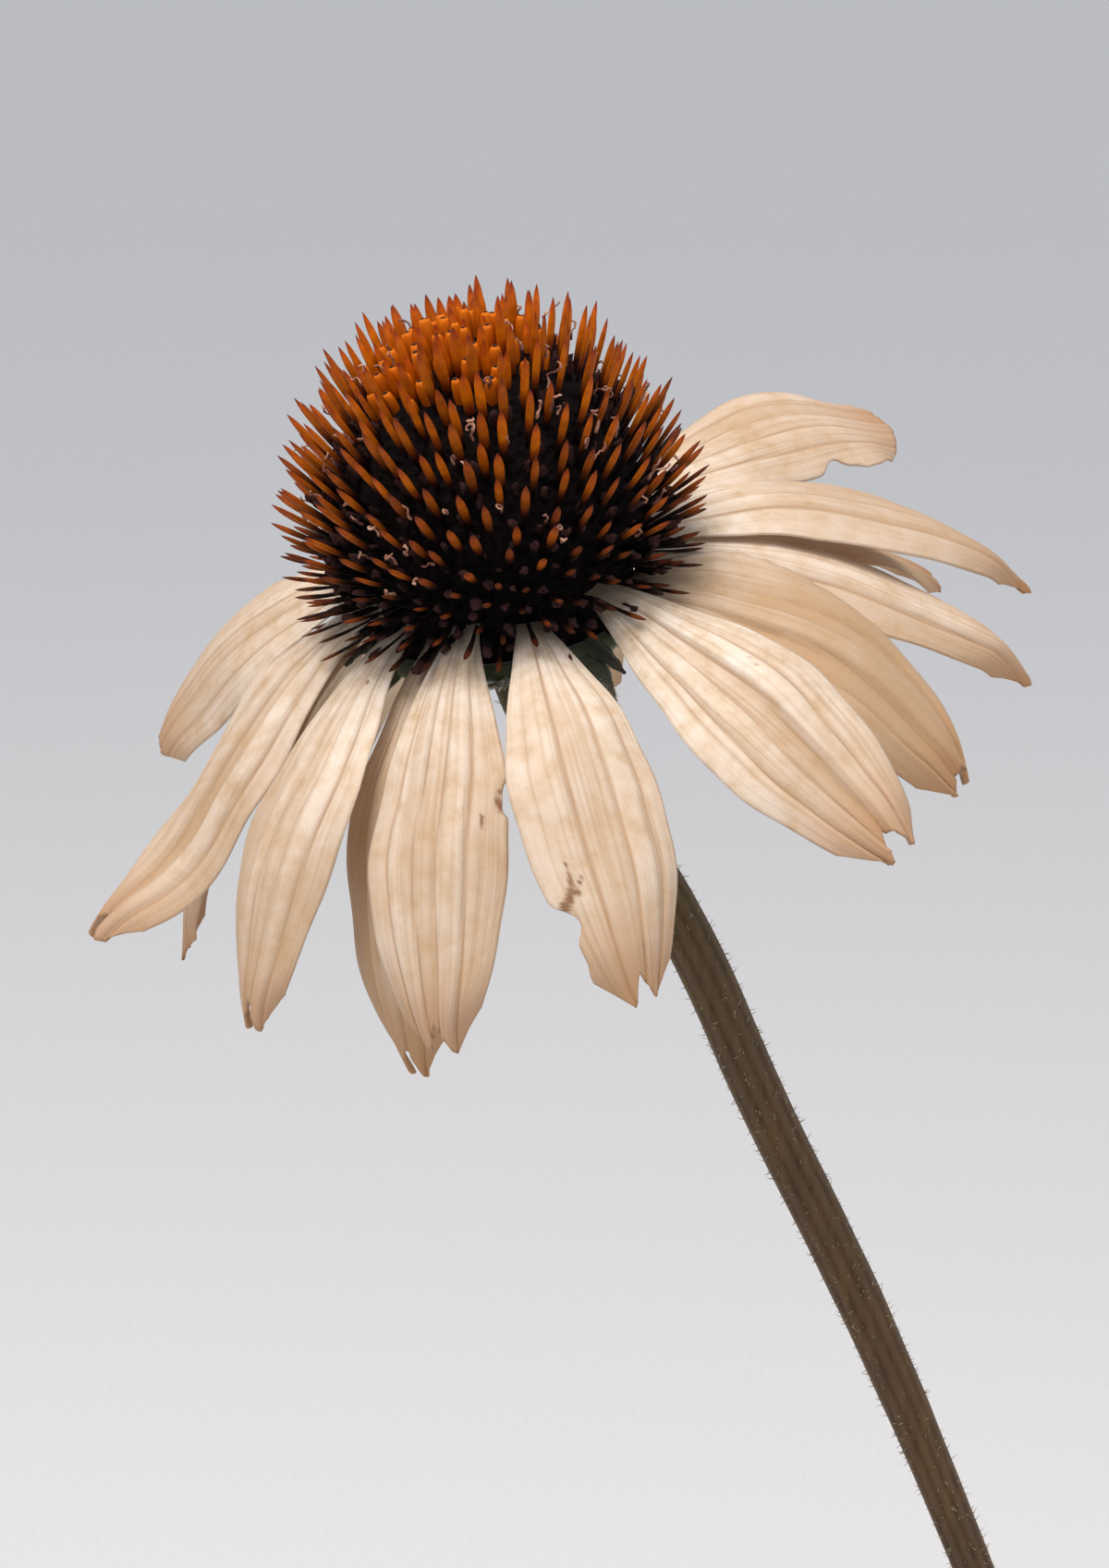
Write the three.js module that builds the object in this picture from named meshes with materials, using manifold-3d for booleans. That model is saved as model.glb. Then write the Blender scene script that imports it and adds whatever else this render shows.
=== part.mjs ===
// Potted coneflower: one faded bloom on a leaning stem, its leaves, and a plain clay pot of compost.
// Millimetres, Z up. The pot's foot is centred on the origin, -Y is the front and +X the right.
import * as THREE from "three";
import { mergeVertices } from "three/addons/utils/BufferGeometryUtils.js";
import Module from "manifold-3d";

const wasm = await Module();
wasm.setup();

// Clearance left between two pieces that touch, and a little more beside the pot's sloping wall
const SEAT = 0.3;
const WALL_CLEARANCE = 0.4;

// Clay pot: tapered wall under a wider collar, open at the top, one drain hole in the floor
const POT_HEIGHT = 112;
const POT_FOOT_RADIUS = 43;
const POT_FLOOR = 7;
const COLLAR_BOTTOM = 84;
const COLLAR_BOTTOM_RADIUS = 61.5;
const RIM_RADIUS = 64;
const WALL_TOP_RADIUS = 57.5;
const INSIDE_FLOOR_RADIUS = 37.5;
const INSIDE_COLLAR_RADIUS = 51.5;
const INSIDE_RIM_RADIUS = 58.2;
const POT_EDGE = 1.4;
const DRAIN_RADIUS = 8;
const POT_SEGMENTS = 48;

// Compost, level with the lower half of the collar
const SOIL_TOP = 96;
const SOIL_BUMP = 1.1;
const SOIL_RINGS = [[44, 0.4], [37, -0.3], [30, 0.5], [22, 0]];
const SOIL_SEGMENTS = 40;

// Rootstock, the knob at soil level that carries the stem and the leaf stalks: its outline as
// radius and height, and how far its sides swell and shrink round it
const ROOTSTOCK_X = 8;
const ROOTSTOCK_Y = 3;
const ROOTSTOCK_OUTLINE = [[0, 78], [4.5, 79.5], [8, 84], [9.6, 91], [9.4, 98.5], [6.6, 101.3], [0, 102.2]];
const ROOTSTOCK_KNOB = 0.2;
const ROOTSTOCK_SEGMENTS = 18;

// Flower stem: its centre line and radius from the rootstock to the underside of the head
const STEM_LINE = [
  [8, 3, 102.6, 2.8],
  [7.2, 3.6, 115, 2.6],
  [4.6, 4.8, 140, 2.4],
  [-0.8, 6.2, 170, 2.1],
  [-8.7, 7.4, 199, 1.85],
  [-18, 8, 224, 1.8],
  [-28.6, 9.4, 249, 2.15],
  [-37.3, 10, 267, 2.25],
  [-45, 10.2, 284, 2.3],
  [-53, 10.2, 297, 2.35],
  [-58.6, 9.2, 304.6, 2.5],
  [-59.4, 8.6, 307.7, 2.9],
];
const STEM_SIDES = 10;
const STEM_RINGS = 32;

// Flower head: the middle of the cone, and how far its axis nods to the front and left
const HEAD_CENTRE = [-62, 6, 322];
const HEAD_NOD = 14.5;
const HEAD_BEARING = 225;

// Cone: a domed receptacle on a narrower neck, covered with pointed scales
const CONE_RADIUS = 13.7;
const CONE_HEIGHT = 17;
const CONE_ANGLES = [-5, 10, 25, 40, 55, 70, 80];
const HEAD_SEGMENTS = 26;
const NECK_RADIUS = 11.4;
const NECK_TOP = -3.2;
const NECK_BOTTOM = -9.7;
const SCALE_TIP_RADIUS = 19.2;
const SCALE_TIP_HEIGHT = 22.3;
const SCALE_COUNT = 150;
const SCALE_LOWEST = 0.6;
const SCALE_HALF_WIDTH = 0.75;
const SCALE_ROOT = 0.62;
const GOLDEN_ANGLE = 137.508;

// Involucre: the green cup under the cone
const CUP_OUTLINE = [
  [0, -14.5],
  [3, -14.5],
  [3.8, -13.1],
  [6.5, -11.9],
  [10.8, -11],
  [12.6, -9.6],
  [12.4, -8.8],
  [11.7, -8.6],
  [11.7, -10],
  [0, -10],
];

// Bracts: small pointed leaves round the cup, bent down under the petals, and spread where the
// petals leave a gap at the front
const BRACT_RING = 12.9;
const BRACT_LEVEL = -10;
const BRACTS = [
  { at: -3, long: 4.6, rise: -24, droop: -10 },
  { at: 28, long: 6.4, rise: 8, droop: 30 },
  { at: 58, long: 9, rise: 32, droop: 60 },
  { at: 88, long: 9.5, rise: 28, droop: 66 },
  { at: 118, long: 10, rise: 26, droop: 62 },
  { at: 148, long: 9.5, rise: 30, droop: 68 },
  { at: 178, long: 10, rise: 34, droop: 74 },
  { at: -153, long: 9, rise: 30, droop: 70 },
  { at: -123, long: 10, rise: 34, droop: 72 },
  { at: -93, long: 9.5, rise: 38, droop: 76 },
  { at: -63, long: 9, rise: 34, droop: 72 },
  { at: -33, long: 9, rise: 40, droop: 78 },
];
const BRACT_WIDTH = 3.4;
const BRACT_TIP = 0.15;
const BRACT_THICK = 0.5;
const BRACT_FOLD = 0.3;

// Petals: bearing round the cone from the front, size, slope at the foot and at the tip in
// degrees below the ring they grow from, then roll, twist, sideways sweep, height and tip curl
const PETAL_RING = 12;
const PETAL_LEVEL = -7;
const PETAL_THICK = 0.5;
const PETAL_BROADEST = 0.57;
const PETAL_FOOT = 0.2;
const PETAL_TIP = 0.38;
const PETAL_CAMBER = 0.12;
const PETAL_NOTCH = 0.955;
const PETAL_CORNER = 0.93;
const PETALS = [
  { at: -163, long: 38, wide: 13, rise: 2, droop: 48, roll: 4, twist: 6, sweep: 2, lift: 2.2 },
  { at: -142, long: 37, wide: 12.5, rise: 24, droop: 68, roll: -4, twist: 4, sweep: 2, lift: 0.4 },
  { at: -120, long: 38, wide: 13.4, rise: 4, droop: 52, roll: -17, twist: -27, sweep: -4, lift: 1.6 },
  { at: -109, long: 35, wide: 12.5, rise: 38, droop: 66, roll: 0, twist: 0, sweep: -2, lift: -0.4 },
  { at: -98, long: 40.4, wide: 13.6, rise: 26, droop: 71, roll: 4, twist: -4, sweep: 1, lift: 0.5 },
  { at: -79, long: 39.5, wide: 14, rise: 20, droop: 67, roll: -11, twist: 4, sweep: 6, lift: 2.4, curl: -34 },
  { at: -50, long: 39, wide: 13.3, rise: 20, droop: 68, roll: 1, twist: 2, sweep: 4, lift: 1.4 },
  { at: -32, long: 39.5, wide: 13.4, rise: 30, droop: 88, roll: 1, twist: 14, sweep: 6, lift: 0.2 },
  { at: -17, long: 40, wide: 13, rise: 17, droop: 70, roll: 3, twist: -1, sweep: 3, lift: 1.8 },
  { at: 11, long: 39.5, wide: 13.2, rise: 6, droop: 64, roll: -7, twist: -4, sweep: -1, lift: 1.2 },
  { at: 45, long: 37.5, wide: 14.3, rise: 16, droop: 45, roll: 15, twist: 0, sweep: 3, lift: 2.2 },
  { at: 67, long: 36.5, wide: 13.9, rise: -7, droop: 63, roll: 9, twist: 0, sweep: 1, lift: -0.3 },
  { at: 97, long: 39, wide: 13.2, rise: 1, droop: 52, roll: 4, twist: 8, sweep: -3, lift: 1.6 },
  { at: 111, long: 41.5, wide: 13.6, rise: -12, droop: 47, roll: 10, twist: -1, sweep: -6, lift: 2.4 },
  { at: 125, long: 39, wide: 13.3, rise: 1, droop: 41, roll: -2, twist: 7, sweep: 0, lift: 0.2 },
  { at: 134, long: 39.5, wide: 12.5, rise: -22, droop: 30, roll: 10, twist: 21, sweep: -1, lift: 1.8 },
  { at: 155, long: 38, wide: 13, rise: 4, droop: 50, roll: 3, twist: 5, sweep: 2, lift: 2 },
  { at: 176, long: 39, wide: 12.5, rise: 22, droop: 66, roll: -2, twist: -4, sweep: 2, lift: 0.4 },
];

// Leaves round the rootstock: a stalk that climbs, then a pointed blade that arches over the rim
const LEAF_RING = 10.9;
const LEAF_LEVEL = 98.2;
const LEAVES = [
  { at: -160, long: 107, wide: 33, rise: -66, droop: 40, roll: 5, twist: 4, sweep: -6 },
  { at: -118, long: 128, wide: 35, rise: -70, droop: 34, roll: -6, twist: -5, sweep: 5 },
  { at: -77, long: 112, wide: 31, rise: -62, droop: 46, roll: 4, twist: 8, sweep: 4 },
  { at: -38, long: 122, wide: 34, rise: -68, droop: 42, roll: -3, twist: -6, sweep: -5 },
  { at: 4, long: 108, wide: 30, rise: -60, droop: 50, roll: 6, twist: 3, sweep: 7 },
  { at: 43, long: 120, wide: 35, rise: -70, droop: 38, roll: -5, twist: 6, sweep: -4 },
  { at: 84, long: 95, wide: 31, rise: -56, droop: 46, roll: 3, twist: -8, sweep: 5 },
  { at: 122, long: 114, wide: 34, rise: -69, droop: 36, roll: -6, twist: 5, sweep: 6 },
  { at: 161, long: 104, wide: 31, rise: -61, droop: 47, roll: 5, twist: -4, sweep: -6 },
];
const STALK_SHARE = 0.4;
const STALK_WIDTH = 3.2;
const STALK_THICK = 2.4;
const LEAF_THICK = 0.7;
const LEAF_TIP_WIDTH = 0.8;
const LEAF_FOLD = 0.1;
const LEAF_TOOTH = 0.05;
const LEAF_STATIONS = 12;

// Leaves up the stem: narrow, without a stalk, one at a time round the stem
const STEM_LEAF_THICK = 1.4;
const STEM_LEAF_CLEARANCE = 1.3;
const STEM_LEAVES = [
  { at: 70, level: 126, long: 60, wide: 17, rise: -52, droop: 48, roll: 4, twist: 6, sweep: 6 },
  { at: -125, level: 150, long: 54, wide: 15, rise: -50, droop: 44, roll: -5, twist: -6, sweep: -5 },
  { at: 10, level: 172, long: 46, wide: 12.5, rise: -44, droop: 46, roll: 4, twist: 5, sweep: 5 },
];

// Looks: colour and roughness
const CLAY = { color: 0xb4653f, roughness: 0.85 };
const COMPOST = { color: 0x3a2a20, roughness: 0.95 };
const ROOT = { color: 0x6b5540, roughness: 0.85 };
const STEM = { color: 0x6a5a42, roughness: 0.7 };
const GREEN = { color: 0x3f4a2c, roughness: 0.75 };
const LEAF = { color: 0x4c6134, roughness: 0.65 };
const PETAL = { color: 0xe6d5bb, roughness: 0.7 };
const CONE = { color: 0xa8561e, roughness: 0.6 };

// A point nearer the axis than this counts as on it
const AXIS_RADIUS = 0.01;

const rad = THREE.MathUtils.degToRad;

function place(parent, name, geometry, look) {
  geometry.computeVertexNormals();
  const material = new THREE.MeshStandardMaterial({ ...look, metalness: 0 });
  const mesh = new THREE.Mesh(geometry, material);
  mesh.name = name;
  parent.add(mesh);
  return mesh;
}

function numbered(name, i) {
  return `${name}_${String(i + 1).padStart(2, "0")}`;
}

// Stands a piece built towards the front at its bearing round the parent's own axis
function turnTo(mesh, at, radius, height) {
  mesh.position.set(radius * Math.sin(rad(at)), -radius * Math.cos(rad(at)), height);
  mesh.rotation.z = rad(at);
}

// One vertex wherever faces meet, so that the surface is closed
function merged(geometry) {
  geometry.deleteAttribute("normal");
  geometry.deleteAttribute("uv");
  return mergeVertices(geometry, 1e-3);
}

// A closed surface from points and triangles, turned so that it faces out
function closed(points, triangles) {
  let volume = 0;
  for (const [a, b, c] of triangles) {
    volume += points[a].dot(new THREE.Vector3().crossVectors(points[b], points[c]));
  }
  const index = triangles.flatMap(([a, b, c]) => (volume > 0 ? [a, b, c] : [a, c, b]));
  const geometry = new THREE.BufferGeometry();
  geometry.setAttribute("position", new THREE.Float32BufferAttribute(points.flatMap((p) => p.toArray()), 3));
  geometry.setIndex(index);
  return geometry;
}

function toSolid(geometry) {
  const vertProperties = new Float32Array(geometry.attributes.position.array);
  const triVerts = new Uint32Array(geometry.index.array);
  return new wasm.Manifold(new wasm.Mesh({ numProp: 3, vertProperties, triVerts }));
}

function fromSolid(solid) {
  const mesh = solid.getMesh();
  const geometry = new THREE.BufferGeometry();
  geometry.setAttribute("position", new THREE.BufferAttribute(mesh.vertProperties, 3));
  geometry.setIndex(new THREE.BufferAttribute(mesh.triVerts, 1));
  return geometry;
}

// An outline of [radius, height] turned round Z. It starts and ends on the axis, or closes on
// itself. uneven gives how far out and up a point moves, from its radius, height and angle.
function turned(outline, segments, uneven = () => [0, 0]) {
  const lathe = new THREE.LatheGeometry(outline.map(([r, z]) => new THREE.Vector2(r, z)), segments);
  const geometry = merged(lathe.rotateX(Math.PI / 2));
  const position = geometry.attributes.position;
  for (let i = 0; i < position.count; i++) {
    const [x, y, z] = [position.getX(i), position.getY(i), position.getZ(i)];
    const r = Math.hypot(x, y);
    if (r < AXIS_RADIUS) continue;
    const [out, up] = uneven(r, z, Math.atan2(y, x));
    position.setXYZ(i, (x * (r + out)) / r, (y * (r + out)) / r, z + up);
  }
  return geometry;
}

// The centre line of a petal or leaf from the origin towards -Y, with a side and an upward
// direction at each station
function spine(spec, stations) {
  const heading = (s) => {
    const curl = (spec.curl ?? 0) * THREE.MathUtils.smoothstep(s, 0.55, 0.9);
    const pitch = rad(spec.rise + (spec.droop - spec.rise) * s ** 0.8 + curl);
    const yaw = rad((spec.sweep ?? 0) * s);
    const level = Math.cos(pitch);
    return new THREE.Vector3(level * Math.sin(yaw), -level * Math.cos(yaw), -Math.sin(pitch));
  };
  const steps = 4;
  const point = new THREE.Vector3();
  const line = [];
  for (let i = 0; i <= stations; i++) {
    const s = i / stations;
    const ahead = heading(s);
    const side = new THREE.Vector3(1, 0, 0).addScaledVector(ahead, -ahead.x).normalize();
    const up = new THREE.Vector3().crossVectors(ahead, side);
    const roll = rad((spec.roll ?? 0) + (spec.twist ?? 0) * s);
    side.applyAxisAngle(ahead, roll);
    up.applyAxisAngle(ahead, roll);
    line.push({ s, point: point.clone(), side, up });
    for (let k = 0; k < steps; k++) {
      const along = (i + (k + 0.5) / steps) / stations;
      point.addScaledVector(heading(along), spec.long / (stations * steps));
    }
  }
  return line;
}

// A thin solid along a spine. width and thick give the size at s, sink the drop of the surface
// at (s, t), and end how far along each column reaches, with t from -1 to 1 across.
function blade(spec, stations, columns, { width, thick, sink, end }) {
  const line = spine(spec, stations);
  const points = [];
  const tops = [];
  const bottoms = [];
  line.forEach(({ s, point, side, up }, i) => {
    const previous = line[Math.max(0, i - 1)].point;
    for (let k = 0; k <= columns; k++) {
      const t = (2 * k) / columns - 1;
      const back = i === stations ? (1 - end(t)) * stations : 0;
      const middle = point
        .clone()
        .lerp(previous, Math.min(back, 0.9))
        .addScaledVector(side, (t * width(s)) / 2)
        .addScaledVector(up, -sink(s, t));
      points.push(middle.clone().addScaledVector(up, thick(s) / 2));
      tops.push(points.length - 1);
      points.push(middle.clone().addScaledVector(up, -thick(s) / 2));
      bottoms.push(points.length - 1);
    }
  });
  const row = columns + 1;
  const triangles = [];
  const quad = (a, b, c, d) => triangles.push([a, b, c], [a, c, d]);
  for (let i = 0; i < stations; i++) {
    const a = i * row;
    for (let k = 0; k < columns; k++) {
      quad(tops[a + k], tops[a + k + 1], tops[a + row + k + 1], tops[a + row + k]);
      quad(bottoms[a + k], bottoms[a + row + k], bottoms[a + row + k + 1], bottoms[a + k + 1]);
    }
    quad(tops[a], tops[a + row], bottoms[a + row], bottoms[a]);
    quad(tops[a + columns], bottoms[a + columns], bottoms[a + row + columns], tops[a + row + columns]);
  }
  const last = stations * row;
  for (let k = 0; k < columns; k++) {
    quad(tops[k], bottoms[k], bottoms[k + 1], tops[k + 1]);
    quad(tops[last + k], tops[last + k + 1], bottoms[last + k + 1], bottoms[last + k]);
  }
  return closed(points, triangles);
}

function potSolid() {
  const outline = [
    [DRAIN_RADIUS, 0],
    [POT_FOOT_RADIUS - POT_EDGE, 0],
    [POT_FOOT_RADIUS, POT_EDGE],
    [WALL_TOP_RADIUS, COLLAR_BOTTOM],
    [COLLAR_BOTTOM_RADIUS - POT_EDGE, COLLAR_BOTTOM],
    [COLLAR_BOTTOM_RADIUS, COLLAR_BOTTOM + POT_EDGE],
    [RIM_RADIUS, POT_HEIGHT - POT_EDGE],
    [RIM_RADIUS - POT_EDGE, POT_HEIGHT],
    [INSIDE_RIM_RADIUS + POT_EDGE, POT_HEIGHT],
    [INSIDE_RIM_RADIUS, POT_HEIGHT - POT_EDGE],
    [INSIDE_COLLAR_RADIUS, COLLAR_BOTTOM],
    [INSIDE_FLOOR_RADIUS, POT_FLOOR],
    [DRAIN_RADIUS, POT_FLOOR],
  ];
  return turned([...outline, outline[0]], POT_SEGMENTS);
}

// The rootstock's outline, grown by extra all round for the hollow that it fills in the compost
function rootstockSolid(extra) {
  const last = ROOTSTOCK_OUTLINE.length - 1;
  const outline = ROOTSTOCK_OUTLINE.map(([r, z], i) => {
    const lift = { 0: -extra, [last]: extra }[i] ?? 0;
    return [r === 0 ? 0 : r + extra, z + lift];
  });
  const knobs = (r, z, angle) => [ROOTSTOCK_KNOB * Math.sin(5 * angle + z / 6), 0];
  return turned(outline, ROOTSTOCK_SEGMENTS, knobs);
}

function soilSolid() {
  const slope = (INSIDE_RIM_RADIUS - INSIDE_COLLAR_RADIUS) / (POT_HEIGHT - COLLAR_BOTTOM);
  const edge = INSIDE_COLLAR_RADIUS + (SOIL_TOP - COLLAR_BOTTOM) * slope - WALL_CLEARANCE;
  const outline = [
    [0, POT_FLOOR + SEAT],
    [INSIDE_FLOOR_RADIUS - SEAT, POT_FLOOR + SEAT],
    [INSIDE_COLLAR_RADIUS - WALL_CLEARANCE, COLLAR_BOTTOM],
    [edge, SOIL_TOP - SOIL_BUMP],
    [edge - 4, SOIL_TOP],
    ...SOIL_RINGS.map(([r, lift]) => [r, SOIL_TOP + lift]),
    [0, SOIL_TOP + SOIL_BUMP / 2],
  ];
  const lumps = (r, z, angle) => {
    const loose = z < SOIL_TOP - SOIL_BUMP / 2 ? 0 : SOIL_BUMP;
    return [0, loose * Math.sin(3 * angle + r / 4) * Math.cos(7 * angle - r / 3)];
  };
  const soil = toSolid(turned(outline, SOIL_SEGMENTS, lumps));
  const hollow = rootstockSolid(SEAT).translate(ROOTSTOCK_X, ROOTSTOCK_Y, 0);
  return fromSolid(soil.subtract(toSolid(hollow)));
}

function stemCurve() {
  return new THREE.CatmullRomCurve3(STEM_LINE.map(([x, y, z]) => new THREE.Vector3(x, y, z)));
}

function stemRadius(share) {
  const along = share * (STEM_LINE.length - 1);
  const low = Math.min(Math.floor(along), STEM_LINE.length - 2);
  return THREE.MathUtils.lerp(STEM_LINE[low][3], STEM_LINE[low + 1][3], along - low);
}

// A many-sided section along the stem's curve, each ring then grown to the stem's radius there
function stemSolid() {
  const curve = stemCurve();
  const corners = [];
  for (let k = 0; k < STEM_SIDES; k++) {
    const angle = (k / STEM_SIDES) * 2 * Math.PI;
    corners.push(new THREE.Vector2(Math.cos(angle), Math.sin(angle)));
  }
  const along = { steps: STEM_RINGS, extrudePath: curve, bevelEnabled: false };
  const geometry = merged(new THREE.ExtrudeGeometry(new THREE.Shape(corners), along));
  const centres = curve.getSpacedPoints(STEM_RINGS);
  const position = geometry.attributes.position;
  const point = new THREE.Vector3();
  for (let i = 0; i < position.count; i++) {
    point.fromBufferAttribute(position, i);
    const reaches = centres.map((centre) => centre.distanceTo(point));
    const ring = reaches.indexOf(Math.min(...reaches));
    const reach = stemRadius(curve.getUtoTmapping(ring / STEM_RINGS));
    point.sub(centres[ring]).setLength(reach).add(centres[ring]);
    position.setXYZ(i, point.x, point.y, point.z);
  }
  return geometry;
}

// The head's own frame, with the cone's axis along its Z
function headGroup() {
  const nod = rad(HEAD_NOD);
  const bearing = rad(HEAD_BEARING);
  const sine = Math.sin(nod);
  const axis = new THREE.Vector3(sine * Math.cos(bearing), sine * Math.sin(bearing), Math.cos(nod));
  const right = new THREE.Vector3(1, 0, 0).addScaledVector(axis, -axis.x).normalize();
  const back = new THREE.Vector3().crossVectors(axis, right);
  const head = new THREE.Group();
  head.quaternion.setFromRotationMatrix(new THREE.Matrix4().makeBasis(right, back, axis));
  head.position.set(...HEAD_CENTRE);
  return head;
}

// One pointed scale, from inside the receptacle to its tip
function scaleSolid(i) {
  const angle = rad(i * GOLDEN_ANGLE);
  const height = 1 - (i + 0.5) / SCALE_COUNT;
  const z = SCALE_LOWEST + (SCALE_TIP_HEIGHT - SCALE_LOWEST) * height;
  const r = SCALE_TIP_RADIUS * Math.sqrt(1 - (z / SCALE_TIP_HEIGHT) ** 2);
  const tip = new THREE.Vector3(r * Math.cos(angle), r * Math.sin(angle), z);
  const long = tip.length() * (1 - SCALE_ROOT);
  const outward = tip.clone().normalize();
  const scale = merged(new THREE.ConeGeometry(SCALE_HALF_WIDTH, long, 3));
  scale.translate(0, -long / 2, 0);
  scale.applyQuaternion(new THREE.Quaternion().setFromUnitVectors(new THREE.Vector3(0, 1, 0), outward));
  return toSolid(scale.translate(tip.x, tip.y, tip.z));
}

function coneSolid() {
  const outline = [
    [0, NECK_BOTTOM],
    [NECK_RADIUS, NECK_BOTTOM],
    [NECK_RADIUS, NECK_TOP],
  ];
  for (const lean of CONE_ANGLES) {
    outline.push([CONE_RADIUS * Math.cos(rad(lean)), CONE_HEIGHT * Math.sin(rad(lean))]);
  }
  outline.push([0, CONE_HEIGHT]);
  let cone = toSolid(turned(outline, HEAD_SEGMENTS));
  for (let i = 0; i < SCALE_COUNT; i++) {
    cone = cone.add(scaleSolid(i));
  }
  return fromSolid(cone);
}

// Narrow at the foot, broadest past the middle, and cut into two teeth at the tip
function petalSolid(petal) {
  const shape = {
    width: (s) => {
      const opening = Math.sin((Math.min(s / PETAL_BROADEST, 1) * Math.PI) / 2) ** 1.15;
      const closing = Math.max(0, (s - PETAL_BROADEST) / (1 - PETAL_BROADEST)) ** 2;
      return petal.wide * (PETAL_FOOT + (1 - PETAL_FOOT) * opening - (1 - PETAL_TIP) * closing);
    },
    thick: () => PETAL_THICK,
    sink: (s, t) => petal.wide * PETAL_CAMBER * t * t * Math.min(1, 2.5 * s),
    end: (t) => (t === 0 ? PETAL_NOTCH : Math.abs(t) === 1 ? PETAL_CORNER : 1),
  };
  return blade(petal, 10, 4, shape);
}

function bractSolid(bract) {
  return blade(bract, 5, 2, {
    width: (s) => BRACT_WIDTH * (1 - (1 - BRACT_TIP) * s ** 1.6),
    thick: () => BRACT_THICK,
    sink: (s, t) => BRACT_FOLD * Math.abs(t),
    end: () => 1,
  });
}

// A stalk that widens into a pointed blade, folded up a little along its middle vein.
// stalk is the stalk's share of the length, and foot the thickness where the leaf begins.
function leafSolid(leaf, stalk, foot) {
  const along = (s) => Math.max(0, (s - stalk) / (1 - stalk));
  const shape = {
    width: (s) => {
      const tooth = 1 + LEAF_TOOTH * (Math.round(s * LEAF_STATIONS) % 2 ? 1 : -1);
      const bulge = Math.sin(Math.PI * along(s) ** 0.72) ** 1.1;
      const narrow = THREE.MathUtils.lerp(STALK_WIDTH, LEAF_TIP_WIDTH, along(s));
      return narrow + (leaf.wide - STALK_WIDTH) * bulge * tooth;
    },
    thick: (s) => THREE.MathUtils.lerp(foot, LEAF_THICK, Math.min(1, 2.2 * s)),
    sink: (s, t) => -LEAF_FOLD * leaf.wide * Math.abs(t) * Math.min(1, 3 * along(s)),
    end: () => 1,
  };
  return blade(leaf, LEAF_STATIONS, 4, shape);
}

const plant = new THREE.Group();
plant.name = "potted_coneflower";
place(plant, "pot", potSolid(), CLAY);
place(plant, "soil", soilSolid(), COMPOST);

const tuft = new THREE.Group();
tuft.position.set(ROOTSTOCK_X, ROOTSTOCK_Y, 0);
plant.add(tuft);
place(tuft, "rootstock", rootstockSolid(0), ROOT);
LEAVES.forEach((leaf, i) => {
  const solid = leafSolid(leaf, STALK_SHARE, STALK_THICK);
  turnTo(place(tuft, numbered("basal_leaf", i), solid, LEAF), leaf.at, LEAF_RING, LEAF_LEVEL);
});

place(plant, "flower_stem", stemSolid(), STEM);
const curve = stemCurve();
STEM_LEAVES.forEach((leaf, i) => {
  let share = 0;
  while (curve.getPoint(share).z < leaf.level) {
    share += 0.002;
  }
  const joint = new THREE.Group();
  joint.position.copy(curve.getPoint(share));
  plant.add(joint);
  const solid = leafSolid(leaf, 0, STEM_LEAF_THICK);
  const radius = stemRadius(share) + STEM_LEAF_CLEARANCE;
  turnTo(place(joint, numbered("stem_leaf", i), solid, LEAF), leaf.at, radius, 0);
});

const head = headGroup();
plant.add(head);
place(head, "involucre", turned(CUP_OUTLINE, HEAD_SEGMENTS), GREEN);
place(head, "cone", coneSolid(), CONE);
BRACTS.forEach((bract, i) => {
  turnTo(place(head, numbered("bract", i), bractSolid(bract), GREEN), bract.at, BRACT_RING, BRACT_LEVEL);
});
PETALS.forEach((petal, i) => {
  const level = PETAL_LEVEL + petal.lift;
  turnTo(place(head, numbered("petal", i), petalSolid(petal), PETAL), petal.at, PETAL_RING, level);
});

export default plant;
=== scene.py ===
import math

import bpy
import numpy as np
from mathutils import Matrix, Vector, noise


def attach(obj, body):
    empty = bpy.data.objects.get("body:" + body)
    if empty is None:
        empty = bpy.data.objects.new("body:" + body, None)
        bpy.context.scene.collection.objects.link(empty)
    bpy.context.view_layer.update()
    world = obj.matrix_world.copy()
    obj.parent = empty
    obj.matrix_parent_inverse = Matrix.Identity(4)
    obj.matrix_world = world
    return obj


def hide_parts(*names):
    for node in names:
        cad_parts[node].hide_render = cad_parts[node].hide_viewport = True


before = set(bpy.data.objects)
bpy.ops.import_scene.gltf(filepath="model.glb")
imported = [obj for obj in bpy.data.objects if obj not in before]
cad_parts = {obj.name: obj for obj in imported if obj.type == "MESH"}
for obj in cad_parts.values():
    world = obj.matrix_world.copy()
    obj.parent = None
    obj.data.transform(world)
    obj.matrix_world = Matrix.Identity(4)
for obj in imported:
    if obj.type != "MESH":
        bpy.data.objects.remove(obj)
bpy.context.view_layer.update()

# Studio. A round sheet of pale grey paper that curves up all round, a broad soft lamp high on
# the left in front, a weaker one on the right, and an even pale sky. The lens looks down 12
# degrees from in front of the flower, as a short telephoto would from half a metre away.
LENS = 141.26
SENSOR = 36.0
CAMERA_PLACE = (-0.0567, -0.5368, 0.4137)
CAMERA_TILT = math.radians(78.0)
PAPER_PROFILE = [(0, 0), (2, 0), (2.6, 0.03), (3.1, 0.14), (3.5, 0.36), (3.8, 0.7), (4, 1.2), (4.05, 1.7)]
PAPER_SEGMENTS = 96
PAPER_DROP = 0.0004
KEY_LAMP = dict(place=(-0.38, -0.36, 1.48), size=0.9, power=17.4, colour="#FFF3E6")
FILL_LAMP = dict(place=(1.1, -0.4, 1.0), size=0.9, power=3.0, colour="#F0F2F8")
LAMP_TARGET = (-0.06, 0.0, 0.31)
SKY = "#F1F3F8"
SKY_STRENGTH = 0.62


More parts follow.
